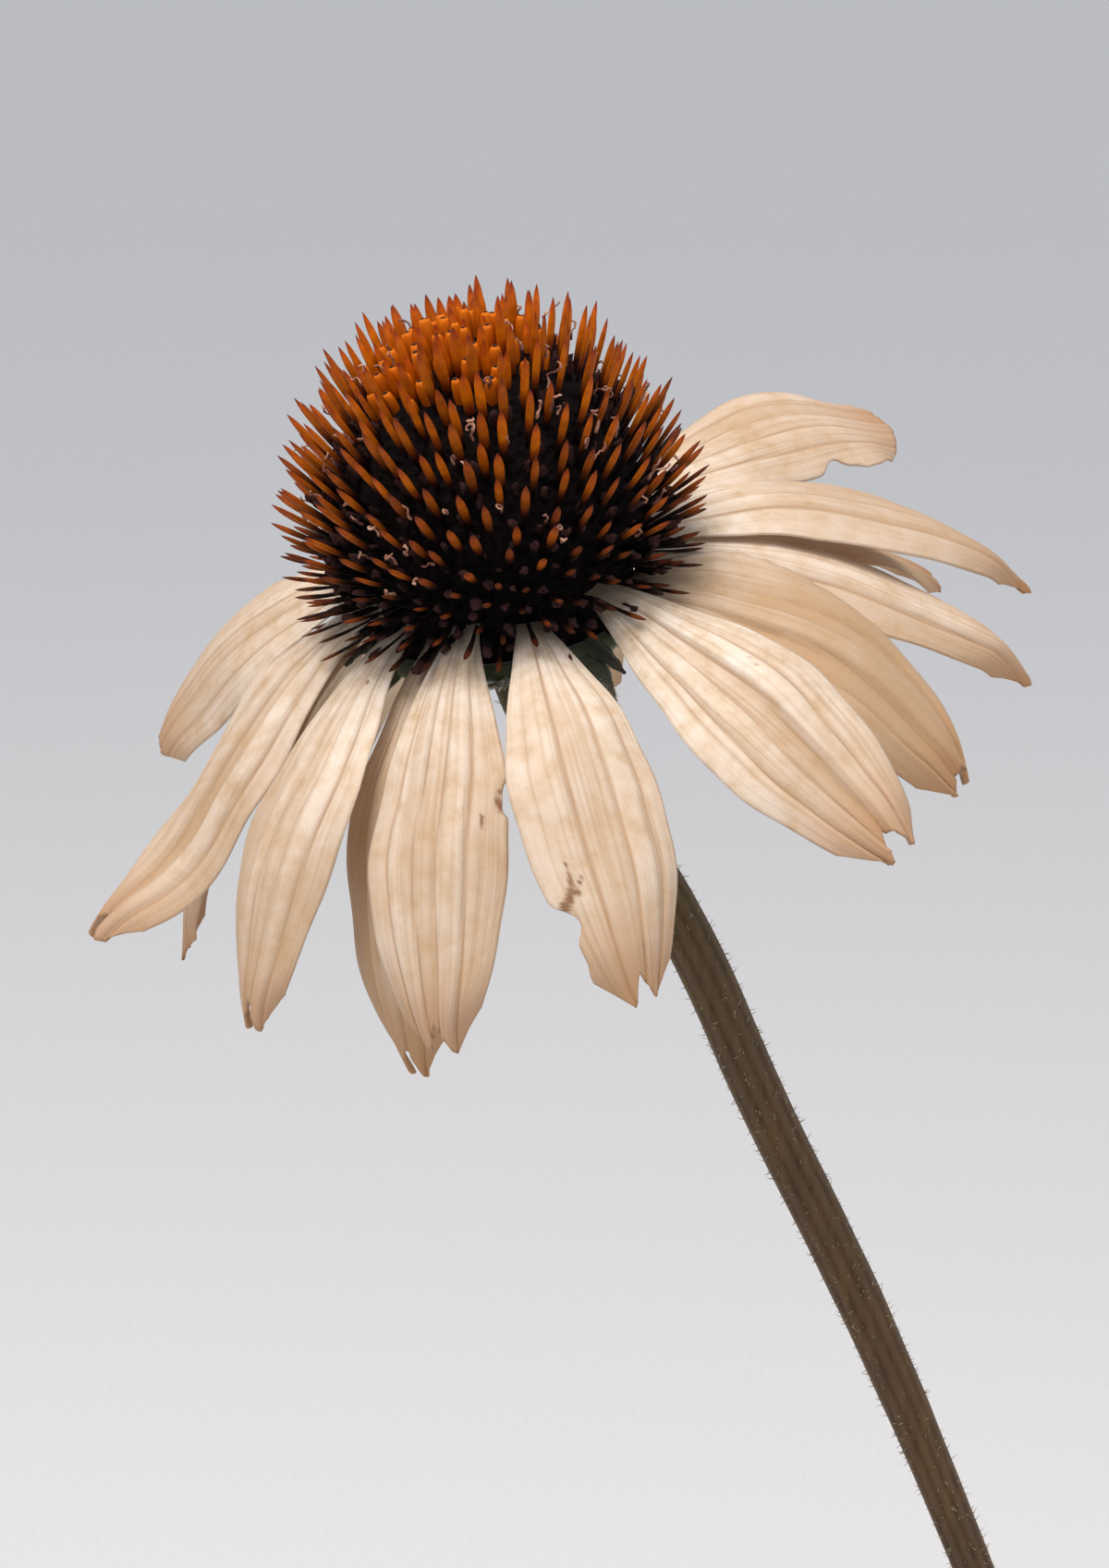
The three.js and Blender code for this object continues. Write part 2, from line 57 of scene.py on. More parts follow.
def linear(colour):
    """The linear colour that a shader takes, from an sRGB hex value."""
    parts = [int(colour[i : i + 2], 16) / 255 for i in (1, 3, 5)]
    return tuple(p / 12.92 if p <= 0.04045 else ((p + 0.055) / 1.055) ** 2.4 for p in parts) + (1.0,)


def add(tree, kind, inputs=None, stops=None, **settings):
    """A node with its settings, its values or links by socket, and the stops of its ramp. A link
    is a socket, or a node that stands for its first output; a colour may be its hex value."""
    node = tree.nodes.new("ShaderNode" + kind)
    for name, value in settings.items():
        setattr(node, name, value)
    for name, value in (inputs or {}).items():
        if isinstance(value, bpy.types.Node):
            value = next(output for output in value.outputs if output.enabled)
        if isinstance(value, bpy.types.NodeSocket):
            tree.links.new(value, node.inputs[name])
        else:
            node.inputs[name].default_value = linear(value) if isinstance(value, str) else value
    for i, (place, colour) in enumerate(stops or []):
        marks = node.color_ramp.elements
        mark = marks[i] if i < 2 else marks.new(place)
        mark.position = place
        mark.color = linear(colour)
    return node


LAID_OVER = dict(data_type="RGBA")
MULTIPLIED = dict(data_type="RGBA", blend_type="MULTIPLY")


def new_material(name, fields):
    """A material and its empty node tree, then each field that it is drawn from: place, the place
    on the object, or a measure that the mesh holds at each point."""
    material = bpy.data.materials.new(name)
    material.use_nodes = True
    tree = material.node_tree
    tree.nodes.clear()
    sources = [
        add(tree, "TexCoord").outputs["Object"]
        if field == "place"
        else add(tree, "Attribute", attribute_name=field).outputs["Fac"]
        for field in fields.split()
    ]
    return material, tree, *sources


def made(name, points, faces, material, **measures):
    """A piece from points in millimetres, with a named measure at each point for its material."""
    mesh = bpy.data.meshes.new(name)
    mesh.from_pydata((np.asarray(points) / 1000).tolist(), [], [tuple(map(int, face)) for face in faces])
    for measure, values in measures.items():
        field = mesh.attributes.new(measure, "FLOAT", "POINT")
        field.data.foreach_set("value", np.asarray(values, dtype=np.float32).ravel())
    mesh.materials.append(material)
    mesh.shade_smooth()
    piece = bpy.data.objects.new(name, mesh)
    bpy.context.scene.collection.objects.link(piece)
    return piece


def round_angles(count):
    """Evenly spaced angles once round."""
    return np.linspace(0, 2 * np.pi, count, endpoint=False)


def turned(profile, segments):
    """A profile of [radius, height] turned round Z. It runs up the outside, from the axis or on
    round and back to its start, and comes back as rings of points with the faces between them."""
    profile = np.asarray(profile, float)
    ring_back = not (profile[0, 0] == 0 or profile[-1, 0] == 0)
    angles = round_angles(segments)
    points, starts = [], []
    for radius, height in profile:
        starts.append(sum(map(len, points)))
        if radius == 0:
            points.append(np.array([[0, 0, height]]))
        else:
            ring = [radius * np.cos(angles), radius * np.sin(angles), np.full(segments, height)]
            points.append(np.stack(ring, 1))
    faces = []
    count = len(profile)
    for i in range(count if ring_back else count - 1):
        low, high = i, (i + 1) % count
        for k in range(segments):
            n = (k + 1) % segments
            if profile[low, 0] == 0:
                faces.append((starts[low], starts[high] + n, starts[high] + k))
            elif profile[high, 0] == 0:
                faces.append((starts[low] + k, starts[low] + n, starts[high]))
            else:
                faces.append((starts[low] + k, starts[low] + n, starts[high] + n, starts[high] + k))
    return np.vstack(points), faces


def textured(name, pattern, stops, surface, kind="TexNoise", stretch=None, measure=None, relief=None):
    """A material of one pattern, which tints it by the stops and raises it by the relief's strength
    and depth. The pattern can be drawn out, and a share of it added to a measure for the tint."""
    material, tree, place, *fields = new_material(name, "place " + (measure[0] if measure else ""))
    if stretch:
        place = add(tree, "Mapping", {"Vector": place, "Scale": stretch})
    texture = add(tree, kind, {"Vector": place} | pattern)
    shade = texture
    if measure:
        shade = add(tree, "Math", {0: texture, 1: measure[1], 2: fields[0]}, operation="MULTIPLY_ADD")
    surface = surface | {"Base Color": add(tree, "ValToRGB", {"Fac": shade}, stops=stops)}
    if relief:
        strength, depth = relief
        surface["Normal"] = add(tree, "Bump", {"Height": texture, "Strength": strength, "Distance": depth})
    add(tree, "OutputMaterial", {"Surface": add(tree, "BsdfPrincipled", surface)})
    return material


camera = bpy.data.objects.new("camera", bpy.data.cameras.new("camera"))
camera.data.sensor_fit = "VERTICAL"
camera.data.sensor_height = SENSOR
camera.data.lens = LENS
camera.data.clip_start = 0.02
camera.data.clip_end = 30.0
camera.location = CAMERA_PLACE
camera.rotation_euler = (CAMERA_TILT, 0.0, 0.0)
bpy.context.scene.collection.objects.link(camera)
bpy.context.scene.camera = camera
bpy.context.scene.view_settings.view_transform = "Standard"

for name, lamp in (("key_lamp", KEY_LAMP), ("fill_lamp", FILL_LAMP)):
    light = bpy.data.lights.new(name, "AREA")
    light.shape = "DISK"
    light.size = lamp["size"]
    light.energy = lamp["power"]
    light.color = linear(lamp["colour"])[:3]
    holder = bpy.data.objects.new(name, light)
    holder.location = lamp["place"]
    aim = Vector(LAMP_TARGET) - Vector(lamp["place"])
    holder.rotation_euler = aim.to_track_quat("-Z", "Y").to_euler()
    bpy.context.scene.collection.objects.link(holder)

world = bpy.data.worlds.new("pale_sky")
world.use_nodes = True
world.node_tree.nodes["Background"].inputs["Color"].default_value = linear(SKY)
world.node_tree.nodes["Background"].inputs["Strength"].default_value = SKY_STRENGTH
bpy.context.scene.world = world

# Matt card: it takes the light evenly and shows no shine, only faint flecks 1 mm across
card = textured(
    "matt_grey_card",
    {"Scale": 900.0, "Detail": 3.0},
    [(0.3, "#E9EAEC"), (0.7, "#EFF0F2")],
    {"Roughness": 0.92},
)
points, faces = turned(np.array(PAPER_PROFILE) * 1000, PAPER_SEGMENTS)
sweep = made("paper_sweep", points, faces, card)
sweep.data.flip_normals()
sweep.location.z = -PAPER_DROP

# Clay pot. A tapered pot of red earthenware with a wide plain collar, thrown on a wheel, turned
# smooth and fired without a glaze. Clay and grit show in its wall, the thrower's fingers left
# faint rings, and lime from watering has bloomed white low on the collar and at the foot.
POT_HEIGHT = 112.0
COLLAR_LEVEL = 84.0
POT_FLOOR = 7.0
DRAIN_RADIUS = 8.0
POT_SEGMENTS = 176
POT_SPACING = 2.2
POT_OUTSIDE = [
    (DRAIN_RADIUS, 0.0),
    (43.0, 0.0),
    (57.5, COLLAR_LEVEL),
    (61.5, COLLAR_LEVEL),
    (64.0, POT_HEIGHT),
    (58.2, POT_HEIGHT),
    (51.5, COLLAR_LEVEL),
    (37.5, POT_FLOOR),
    (DRAIN_RADIUS, POT_FLOOR),
]
POT_ROUNDING = [1.2, 2.4, 1.0, 2.2, 2.0, 2.0, 6.0, 4.0, 1.2]
RING_SPACING = 5.5
RING_DEPTH = 0.13


def rounded(corners, radii, spacing, steps=5):
    """A closed outline with its corners rounded and its sides cut into short lengths."""
    corners = np.asarray(corners, float)
    outline = []
    for i, corner in enumerate(corners):
        before, after = corners[i - 1], corners[(i + 1) % len(corners)]
        start = corner + (before - corner) * min(0.45, radii[i] / np.linalg.norm(before - corner))
        end = corner + (after - corner) * min(0.45, radii[i] / np.linalg.norm(after - corner))
        for share in np.linspace(0, 1, steps):
            outline.append((1 - share) ** 2 * start + 2 * share * (1 - share) * corner + share**2 * end)
    filled = []
    for i, point in enumerate(outline):
        following = outline[(i + 1) % len(outline)]
        pieces = max(1, int(np.linalg.norm(following - point) / spacing))
        filled += [point + (following - point) * k / pieces for k in range(pieces)]
    return np.array(filled)


def bumps(points, size, seed):
    """Smooth unevenness from -1 to 1 at each point, with lumps of about that size in mm."""
    shift = Vector((37.3, 11.9, 5.7)) * (seed + 1)
    return np.array([noise.noise(Vector(point) / size + shift) for point in points])


outline = rounded(POT_OUTSIDE, POT_ROUNDING, POT_SPACING)
points, faces = turned(outline, POT_SEGMENTS)
radius = np.hypot(points[:, 0], points[:, 1])
on_wall = np.clip((points[:, 2] - 4) / 6, 0, 1) * np.clip((POT_HEIGHT - 3 - points[:, 2]) / 4, 0, 1)
wander = 1.1 * bumps(points, 60, 1)
rings = RING_DEPTH * np.sin(2 * np.pi * points[:, 2] / RING_SPACING + wander) * on_wall
out_of_round = 0.16 * bumps(points, 45, 2) * on_wall
grow = 1 + (rings + out_of_round + 0.05 * bumps(points, 4, 3) - 0.12) / np.maximum(radius, 8)
points[:, :2] *= grow[:, None]

# Unglazed red earthenware: wholly matt, clouded by the fire, gritty, and bloomed with lime
terracotta, tree, place = new_material("red_earthenware_thrown_unglazed", "place")
height = add(tree, "SeparateXYZ", {"Vector": place}).outputs["Z"]
# Firing leaves broad cloudy changes of colour 20 to 40 mm across
cloud = add(tree, "TexNoise", {"Vector": place, "Scale": 28.0, "Detail": 5.0, "Roughness": 0.6})
fired = add(
    tree, "ValToRGB", {"Fac": cloud},
    stops=[(0.25, "#9C5130"), (0.48, "#B4653F"), (0.62, "#BF7149"), (0.8, "#C98460")],
)
# Grit of 0.3 mm, drawn about 0.6 mm across so that it shows
grit = add(tree, "TexVoronoi", {"Vector": place, "Scale": 1600.0})
specks = add(tree, "ValToRGB", {"Fac": grit}, stops=[(0.1, "#7A3F28"), (0.24, "#FFFFFF")])
gritty = add(tree, "Mix", {0: 0.45, 6: fired, 7: specks}, **MULTIPLIED)
# Lime bloom: heaviest in a band below the rim and round the foot, broken up in patches
bands = add(
    tree, "ValToRGB", {"Fac": add(tree, "MapRange", {"Value": height, "From Max": POT_HEIGHT / 1000})},
    stops=[(0.0, "#B0B0B0"), (0.12, "#303030"), (0.5, "#101010"), (0.72, "#585858"), (0.8, "#1C1C1C"),
           (0.93, "#6A6A6A")],
)
patches = add(
    tree, "TexNoise",
    {"Vector": place, "Scale": 75.0, "Detail": 8.0, "Roughness": 0.7, "Distortion": 0.6},
)
broken = add(tree, "ValToRGB", {"Fac": patches}, stops=[(0.45, "#000000"), (0.66, "#FFFFFF")])
bloom = add(tree, "Math", {0: bands, 1: broken}, operation="MULTIPLY")
limed = add(tree, "Mix", {0: bloom, 6: gritty, 7: "#D9C6B2"}, **LAID_OVER)
grain = add(tree, "TexNoise", {"Vector": place, "Scale": 2600.0, "Detail": 4.0, "Roughness": 0.7})
relief = add(tree, "Bump", {"Height": grain, "Strength": 0.35, "Distance": 0.0003})
relief = add(tree, "Bump", {"Height": bloom, "Strength": 0.3, "Distance": 0.0002, "Normal": relief})
rough = add(tree, "MapRange", {"Value": cloud, "To Min": 0.78, "To Max": 0.95})
clay = add(tree, "BsdfPrincipled", {"Base Color": limed, "Roughness": rough, "Normal": relief, "IOR": 1.5})
add(tree, "OutputMaterial", {"Surface": clay})
pot = made("clay_pot", points, faces, terracotta)
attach(pot, "root")
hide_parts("pot")

# Compost. Dark peat-free compost pressed in round the rootstock, its surface loose: crumbs,
# shreds of bark and a few white grains of perlite. It is damp in the hollows and dry on top.
SOIL_LEVEL = 96.0
SOIL_WALL = [(37.1, 7.4), (51.0, 84.0), (53.6, 94.6)]
SOIL_SEGMENTS = 150
SOIL_STEPS = 56
SOIL_EDGE = 49.0
STREWN_RADIUS = 51.5
ROOT_CLEARANCE = 11.0
ROOT_PLACE = np.array([8.0, 3.0])
CRUMBS = 620
BARK_SHREDS = 110
PERLITE_GRAINS = 34


def soil_height(x, y):
    """The height of the loose surface, with a low mound round the rootstock."""
    spot = Vector((x, y, 0))
    lumps = 1.1 * noise.noise(spot / 17) + 0.8 * noise.noise(spot / 6.5) + 0.35 * noise.noise(spot / 2.4)
    mound = 1.5 * math.exp(-(((x - ROOT_PLACE[0]) ** 2 + (y - ROOT_PLACE[1]) ** 2) / 260))
    return SOIL_LEVEL + lumps + mound - 1.3 * max(0.0, (math.hypot(x, y) - SOIL_EDGE) / 5)


profile = [(0.0, SOIL_WALL[0][1])] + SOIL_WALL
profile += [(53.4 * (1 - k / SOIL_STEPS), SOIL_LEVEL) for k in range(SOIL_STEPS)] + [(0.0, SOIL_LEVEL)]
points, faces = turned(profile, SOIL_SEGMENTS)
surface = points[:, 2] == SOIL_LEVEL
points[surface, 2] = [soil_height(x, y) for x, y in points[surface, :2]]

# Damp compost: dull brown-black crumbs 2 mm across, a little less dull where it is wettest
compost, tree, place = new_material("peat_free_compost_damp", "place")
crumb = add(tree, "TexNoise", {"Vector": place, "Scale": 420.0, "Detail": 8.0, "Roughness": 0.75})
tint = add(
    tree, "ValToRGB", {"Fac": crumb},
    stops=[(0.28, "#1A110B"), (0.5, "#33241A"), (0.66, "#4A3727"), (0.82, "#6B5540")],
)
damp = add(tree, "TexNoise", {"Vector": place, "Scale": 34.0, "Detail": 2.0})
rough = add(
    tree, "MapRange", {"Value": damp, "From Min": 0.3, "From Max": 0.7, "To Min": 0.72, "To Max": 0.98},
)
relief = add(tree, "Bump", {"Height": crumb, "Strength": 0.9, "Distance": 0.0009})
earth = add(tree, "BsdfPrincipled", {"Base Color": tint, "Roughness": rough, "Normal": relief})
add(tree, "OutputMaterial", {"Surface": earth})
soil = made("compost", points, faces, compost)
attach(soil, "root")
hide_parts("soil")


def gathered(parts):
    """One array of points and one list of faces from several."""
    points, faces, start = [], [], 0
    for some, loops in parts:
        points.append(some)
        faces += [tuple(int(corner) + start for corner in loop) for loop in loops]
        start += len(some)
    return np.vstack(points), faces


def pebble(rng, size, stretch, rings=5, sides=7):
    """A lumpy grain about the origin."""
    profile = [(0.0, -1.0)]
    profile += [(math.cos(a), math.sin(a)) for a in np.linspace(-1.1, 1.1, rings)] + [(0.0, 1.0)]
    grain, loops = turned(profile, sides)
    grain = grain * (1 + 0.28 * rng.standard_normal((len(grain), 1)).clip(-1.4, 1.4)) * stretch * size
    spin = rng.uniform(0, 2 * np.pi, 3)
    cosine, sine = math.cos(spin[0]), math.sin(spin[0])
    turn_z = np.array([[cosine, -sine, 0], [sine, cosine, 0], [0, 0, 1]])
    lean = 0.5 * math.sin(spin[1])
    cosine, sine = math.cos(lean), math.sin(lean)
    turn_x = np.array([[1, 0, 0], [0, cosine, -sine], [0, sine, cosine]])
    return grain @ turn_x.T @ turn_z.T, loops


def strewn(count, rng, size, stretch, sink):
    """Grains scattered over the compost, clear of the rootstock, each a little sunk in."""
    parts = []
    while len(parts) < count:
        reach, angle = STREWN_RADIUS * math.sqrt(rng.random()), rng.uniform(0, 2 * np.pi)
        x, y = reach * math.cos(angle), reach * math.sin(angle)
        grain, loops = pebble(rng, rng.uniform(*size), stretch)
        if math.hypot(x - ROOT_PLACE[0], y - ROOT_PLACE[1]) > ROOT_CLEARANCE:
            parts.append((grain + [x, y, soil_height(x, y) + sink * size[0]], loops))
    return gathered(parts)


rng = np.random.default_rng(11)
points, faces = strewn(CRUMBS, rng, (0.5, 1.5), (1, 0.9, 0.75), 0.3)
crumbs = made("compost_crumbs", points, faces, compost)
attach(crumbs, "root")

# Shredded bark: dull, with fibres 1 to 2 mm apart
bark = textured(
    "pine_bark_shredded",
    {"Scale": 700.0, "Detail": 6.0},
    [(0.3, "#2E1D13"), (0.55, "#5A3D28"), (0.8, "#8A6A4A")],
    {"Roughness": 0.88},
    relief=(0.7, 0.0004),
)
points, faces = strewn(BARK_SHREDS, rng, (0.7, 1.7), (2.8, 0.75, 0.4), 0.6)
shreds = made("bark_shreds", points, faces, bark)
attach(shreds, "root")

# Expanded volcanic glass: off-white and dull, with pores 0.4 mm across
perlite = textured(
    "perlite_expanded_grains",
    {"Scale": 2400.0},
    [(0.0, "#B9B3A6"), (0.5, "#E6E2D8")],
    {"Roughness": 0.8},
    kind="TexVoronoi",
    relief=(0.6, 0.0003),
)
points, faces = strewn(PERLITE_GRAINS, rng, (0.6, 1.4), (1, 1, 0.85), 0.4)
grains = made("perlite", points, faces, perlite)
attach(grains, "root")

# Rootstock. The woody knob at soil level, knuckled where old shoots broke away, brown and
# papery with dead leaf bases. A few dry stubs of last year's leaf stalks still stand on it.
ROOT_PROFILE = [(0.0, 78.3), (4.4, 79.8), (7.9, 84.2), (9.5, 91.0), (9.3, 98.3), (6.5, 101.1), (0.0, 102.0)]
ROOT_RINGS = 44
ROOT_SEGMENTS = 72
STUBS = 9
STUB_RADIUS = 1.15
STUB_RING = 5.6
STUB_LEVEL = 98.8
STUB_RINGS = 9


def curve_through(stations, count):
    """Points spaced evenly along a smooth line through the given stations."""
    stations = np.asarray(stations, float)
    gaps = np.linalg.norm(np.diff(stations[:, :3], axis=0), axis=1)
    along = np.concatenate([[0], np.cumsum(gaps)])
    slopes = np.gradient(stations, along, axis=0)
    where = np.linspace(0, along[-1], count)
    k = np.clip(np.searchsorted(along, where, side="right") - 1, 0, len(gaps) - 1)
    h = gaps[k][:, None]
    t = ((where - along[k]) / gaps[k])[:, None]
    return (
        (2 * t**3 - 3 * t**2 + 1) * stations[k]
        + (t**3 - 2 * t**2 + t) * h * slopes[k]
        + (3 * t**2 - 2 * t**3) * stations[k + 1]
        + (t**3 - t**2) * h * slopes[k + 1]
    )


def tube_faces(rings, sides):
    """Faces round a tube of rings, with an end face on each end."""
    grid = np.arange(rings * sides).reshape(rings, sides)
    a, b = grid[:-1], np.roll(grid[:-1], -1, axis=1)
    c, d = np.roll(grid[1:], -1, axis=1), grid[1:]
    faces = np.stack([a, b, c, d], -1).reshape(-1, 4).tolist()
    return faces + [grid[0, ::-1].tolist(), grid[-1].tolist()]


def unit(vectors):
    """The same directions, one long."""
    return vectors / np.linalg.norm(vectors, axis=-1, keepdims=True)


def tube(line, radii, sides, flatten=1.0):
    """A tube along a line, round or flattened."""
    line = np.asarray(line, float)
    ahead = unit(np.gradient(line, axis=0))
    side = np.empty_like(line)
    side[0] = np.cross(ahead[0], [0.31, 0.83, 0.46])
    for i in range(len(line)):
        start = side[max(0, i - 1)]
        side[i] = unit(start - ahead[i] * (start @ ahead[i]))
    other = flatten * np.cross(ahead, side)
    angles = round_angles(sides)
    round_it = np.cos(angles)[:, None] * side[:, None] + np.sin(angles)[:, None] * other[:, None]
    points = line[:, None] + round_it * np.reshape(radii, (-1, 1, 1))
    return points.reshape(-1, 3), tube_faces(len(line), sides)


def smooth_profile(corners, count):
    """A profile of [radius, height] drawn smoothly through its corners."""
    return curve_through([(radius, 0, height) for radius, height in corners], count)[:, [0, 2]]


profile = smooth_profile(ROOT_PROFILE, ROOT_RINGS)
profile[:, 0] = profile[:, 0].clip(0)
profile[0, 0] = profile[-1, 0] = 0.0
points, faces = turned(profile, ROOT_SEGMENTS)
knuckles = 1 + 0.045 * bumps(points, 4.2, 4) + 0.02 * bumps(points, 1.4, 5)
points[:, :2] = points[:, :2] * knuckles[:, None]
parts = [(points + [*ROOT_PLACE, 0], faces)]
rng = np.random.default_rng(5)
for k in range(STUBS):
    angle = 2 * np.pi * (k + 0.35 + 0.25 * rng.random()) / STUBS
    out = np.array([math.cos(angle), math.sin(angle), 0])
    foot = np.array([*ROOT_PLACE, STUB_LEVEL]) + out * STUB_RING
    tall = rng.uniform(2.2, 5.2)
    stations = [foot - [0, 0, 1.5], foot + out * 0.8, foot + out * 1.8 + [0, 0, tall]]
    narrowing = 1 - 0.25 * np.linspace(0, 1, STUB_RINGS)
    line = curve_through(stations, STUB_RINGS)
    radii = STUB_RADIUS * narrowing * (1 + 0.12 * rng.standard_normal(STUB_RINGS))
    parts.append(tube(line, radii, 10, flatten=0.7))
points, faces = gathered(parts)
# Dry papery bark: dull brown shreds 1 mm wide and 5 mm long, paler where they lift
root_bark = textured(
    "rootstock_papery_brown",
    {"Scale": 1.0, "Detail": 6.0, "Roughness": 0.7},
    [(0.28, "#2C1F17"), (0.5, "#5B4433"), (0.68, "#8B7257"), (0.85, "#B09A78")],
    {"Roughness": 0.85},
    stretch=(900.0, 900.0, 180.0),
    relief=(0.8, 0.0005),
)
crown = made("rootstock_knob", points, faces, root_bark)
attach(crown, "root")
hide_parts("rootstock")

# Flower stem. One stiff, ribbed stalk that leans out to the left, olive under the head and
# reddish brown lower down, dried a little, and rough with short pale bristles.
STEM_LINE = [
    (8.0, 3.0, 101.4, 3.1),
    (8.0, 3.0, 103.2, 2.85),
    (7.2, 3.6, 115.0, 2.6),
    (4.6, 4.8, 140.0, 2.4),
    (-0.8, 6.2, 170.0, 2.1),
    (-8.7, 7.4, 199.0, 1.85),
    (-18.0, 8.0, 224.0, 1.8),
    (-28.6, 9.4, 249.0, 2.15),
    (-37.3, 10.0, 267.0, 2.25),
    (-45.0, 10.2, 284.0, 2.3),
    (-53.0, 10.2, 297.0, 2.35),
    (-58.6, 9.2, 304.6, 2.5),
    (-59.6, 8.5, 308.2, 2.9),
]
STEM_LEAF_LEVELS = [126.0, 150.0, 172.0]
STEM_RINGS = 360
STEM_SIDES = 66
STEM_RIBS = 11
RIB_DEPTH = 0.13
BRISTLES = 2600
BRISTLE_LENGTH = (0.3, 0.75)
BRISTLE_RADIUS = 0.045

line = curve_through(STEM_LINE, STEM_RINGS)
stem_line, stem_radius = line[:, :3], line[:, 3]
for level in STEM_LEAF_LEVELS:
    stem_radius = stem_radius + 0.45 * np.exp(-(((stem_line[:, 2] - level) / 2.6) ** 2))
points, faces = tube(stem_line, stem_radius, STEM_SIDES)
share = np.repeat(np.linspace(0, 1, STEM_RINGS), STEM_SIDES)
angles = np.tile(round_angles(STEM_SIDES), STEM_RINGS)
centres = np.repeat(stem_line, STEM_SIDES, axis=0)
ribs = np.abs(np.sin(angles * STEM_RIBS / 2 + 0.5 * share)) ** 0.7
swell = RIB_DEPTH * (ribs - 0.6) + 0.05 * bumps(points, 5, 7)
outward = unit(points - centres)
points = points + outward * swell[:, None]


def stained(tree, colour, *stains):
    """The colour with stains laid over it. Each is a field, the two values of it between which the
    stain changes, how strong it is at the one and at the other, and its colour."""
    for field, low, high, first, last, stain in stains:
        limits = {"From Min": low, "From Max": high, "To Min": first, "To Max": last}
        share = add(tree, "MapRange", {"Value": field} | limits)
        colour = add(tree, "Mix", {0: share, 6: colour, 7: stain}, **LAID_OVER)
    return colour


# Living stalk: dull, olive to red-brown along its length, streaked by fibres drawn 0.7 mm wide so
# that they show, and blotched with rust every 8 mm; its ribs are paler than its grooves
stalk, tree, along, rib, place = new_material("flower_stalk_ribbed_hairy", "along rib place")
lengthwise = add(tree, "Mapping", {"Vector": place, "Scale": (1500.0, 1500.0, 130.0)})
streaks = add(tree, "TexNoise", {"Vector": lengthwise, "Scale": 1.0, "Detail": 5.0, "Roughness": 0.6})
blotches = add(tree, "TexNoise", {"Vector": place, "Scale": 120.0, "Detail": 3.0})
down_the_stem = add(
    tree, "ValToRGB", {"Fac": along},
    stops=[(0.0, "#4A4D24"), (0.28, "#3A2C1A"), (0.45, "#4C3722"), (0.66, "#624426"), (0.84, "#5C4524"),
           (1.0, "#47431A")],
)
shade_of_streak = add(tree, "ValToRGB", {"Fac": streaks}, stops=[(0.3, "#8C8478"), (0.7, "#FFFFFF")])
streaked = add(tree, "Mix", {0: 0.8, 6: down_the_stem, 7: shade_of_streak}, **MULTIPLIED)
rusty = (blotches, 0.45, 0.7, 0.0, 0.55, "#3E2D20")
ribbed = stained(tree, streaked, rusty, (rib, 0.3, 1.0, 0.0, 0.3, "#75634A"))
relief = add(tree, "Bump", {"Height": streaks, "Strength": 0.5, "Distance": 0.00025})
fibre = add(
    tree, "BsdfPrincipled",
    {"Base Color": ribbed, "Roughness": 0.68, "Specular IOR Level": 0.3, "Normal": relief,
     "Sheen Weight": 0.05, "Sheen Roughness": 0.5},
)
add(tree, "OutputMaterial", {"Surface": fibre})
stem = made("flower_stalk", points, faces, stalk, along=share, rib=ribs)
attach(stem, "root")
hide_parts("flower_stem")

# Dry plant hair: straw-coloured and a little glossy, paler or browner every 5 mm
bristle_skin = textured(
    "plant_hair_dry", {"Scale": 200.0}, [(0.35, "#8C7F66"), (0.65, "#C9BFA6")], {"Roughness": 0.5}
)


def repeated(faces, count, step):
    """The same faces for each of several like sets of points."""
    return [tuple(corner + k * step for corner in face) for k in range(count) for face in faces]


def bristles(roots, outward, ahead, length, radius, rng):
    """Three-sided hairs on the given roots, each leaning and bent a little."""
    count = len(roots)
    lean = outward + 0.5 * rng.standard_normal((count, 1)) * ahead + 0.25 * rng.standard_normal((count, 3))
    lean = unit(lean)
    side = np.cross(lean, ahead)
    side /= np.linalg.norm(side, axis=1)[:, None] + 1e-9
    other = np.cross(lean, side)
    long = rng.uniform(*length, (count, 1))
    rings = []
    for reach, thin in ((-0.1, 1.0), (0.55, 0.7), (1.0, 0.18)):
        centre = roots + lean * long * reach + ahead * long * 0.18 * max(reach, 0) ** 2
        for corner in range(3):
            turn = 2 * np.pi * corner / 3
            rings.append(centre + radius * thin * (math.cos(turn) * side + math.sin(turn) * other))
    return np.stack(rings, 1).reshape(-1, 3), repeated(tube_faces(3, 3), count, 9)


rng = np.random.default_rng(21)
picked = rng.integers(2 * STEM_SIDES, len(points) - 2 * STEM_SIDES, BRISTLES)
ahead = unit(points[picked + STEM_SIDES] - points[picked - STEM_SIDES])
hairs, faces = bristles(points[picked], outward[picked], ahead, BRISTLE_LENGTH, BRISTLE_RADIUS, rng)
stem_hairs = made("stem_bristles", hairs, faces, bristle_skin)
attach(stem_hairs, "root")

# Leaves. Nine long-stalked leaves stand round the rootstock and three narrow ones without a
# stalk sit on the stem. Each has five sunk lengthwise veins, a quilted blade and a few coarse
# teeth; the surface is dull and rough, paler below, and the tips have begun to brown.
def table(columns, rows):
    """A dict for each row of numbers, by column, with what the row says of its own at its end."""
    names = columns.split()
    return [dict(zip(names, row)) | dict(*row[len(names) :]) for row in rows]


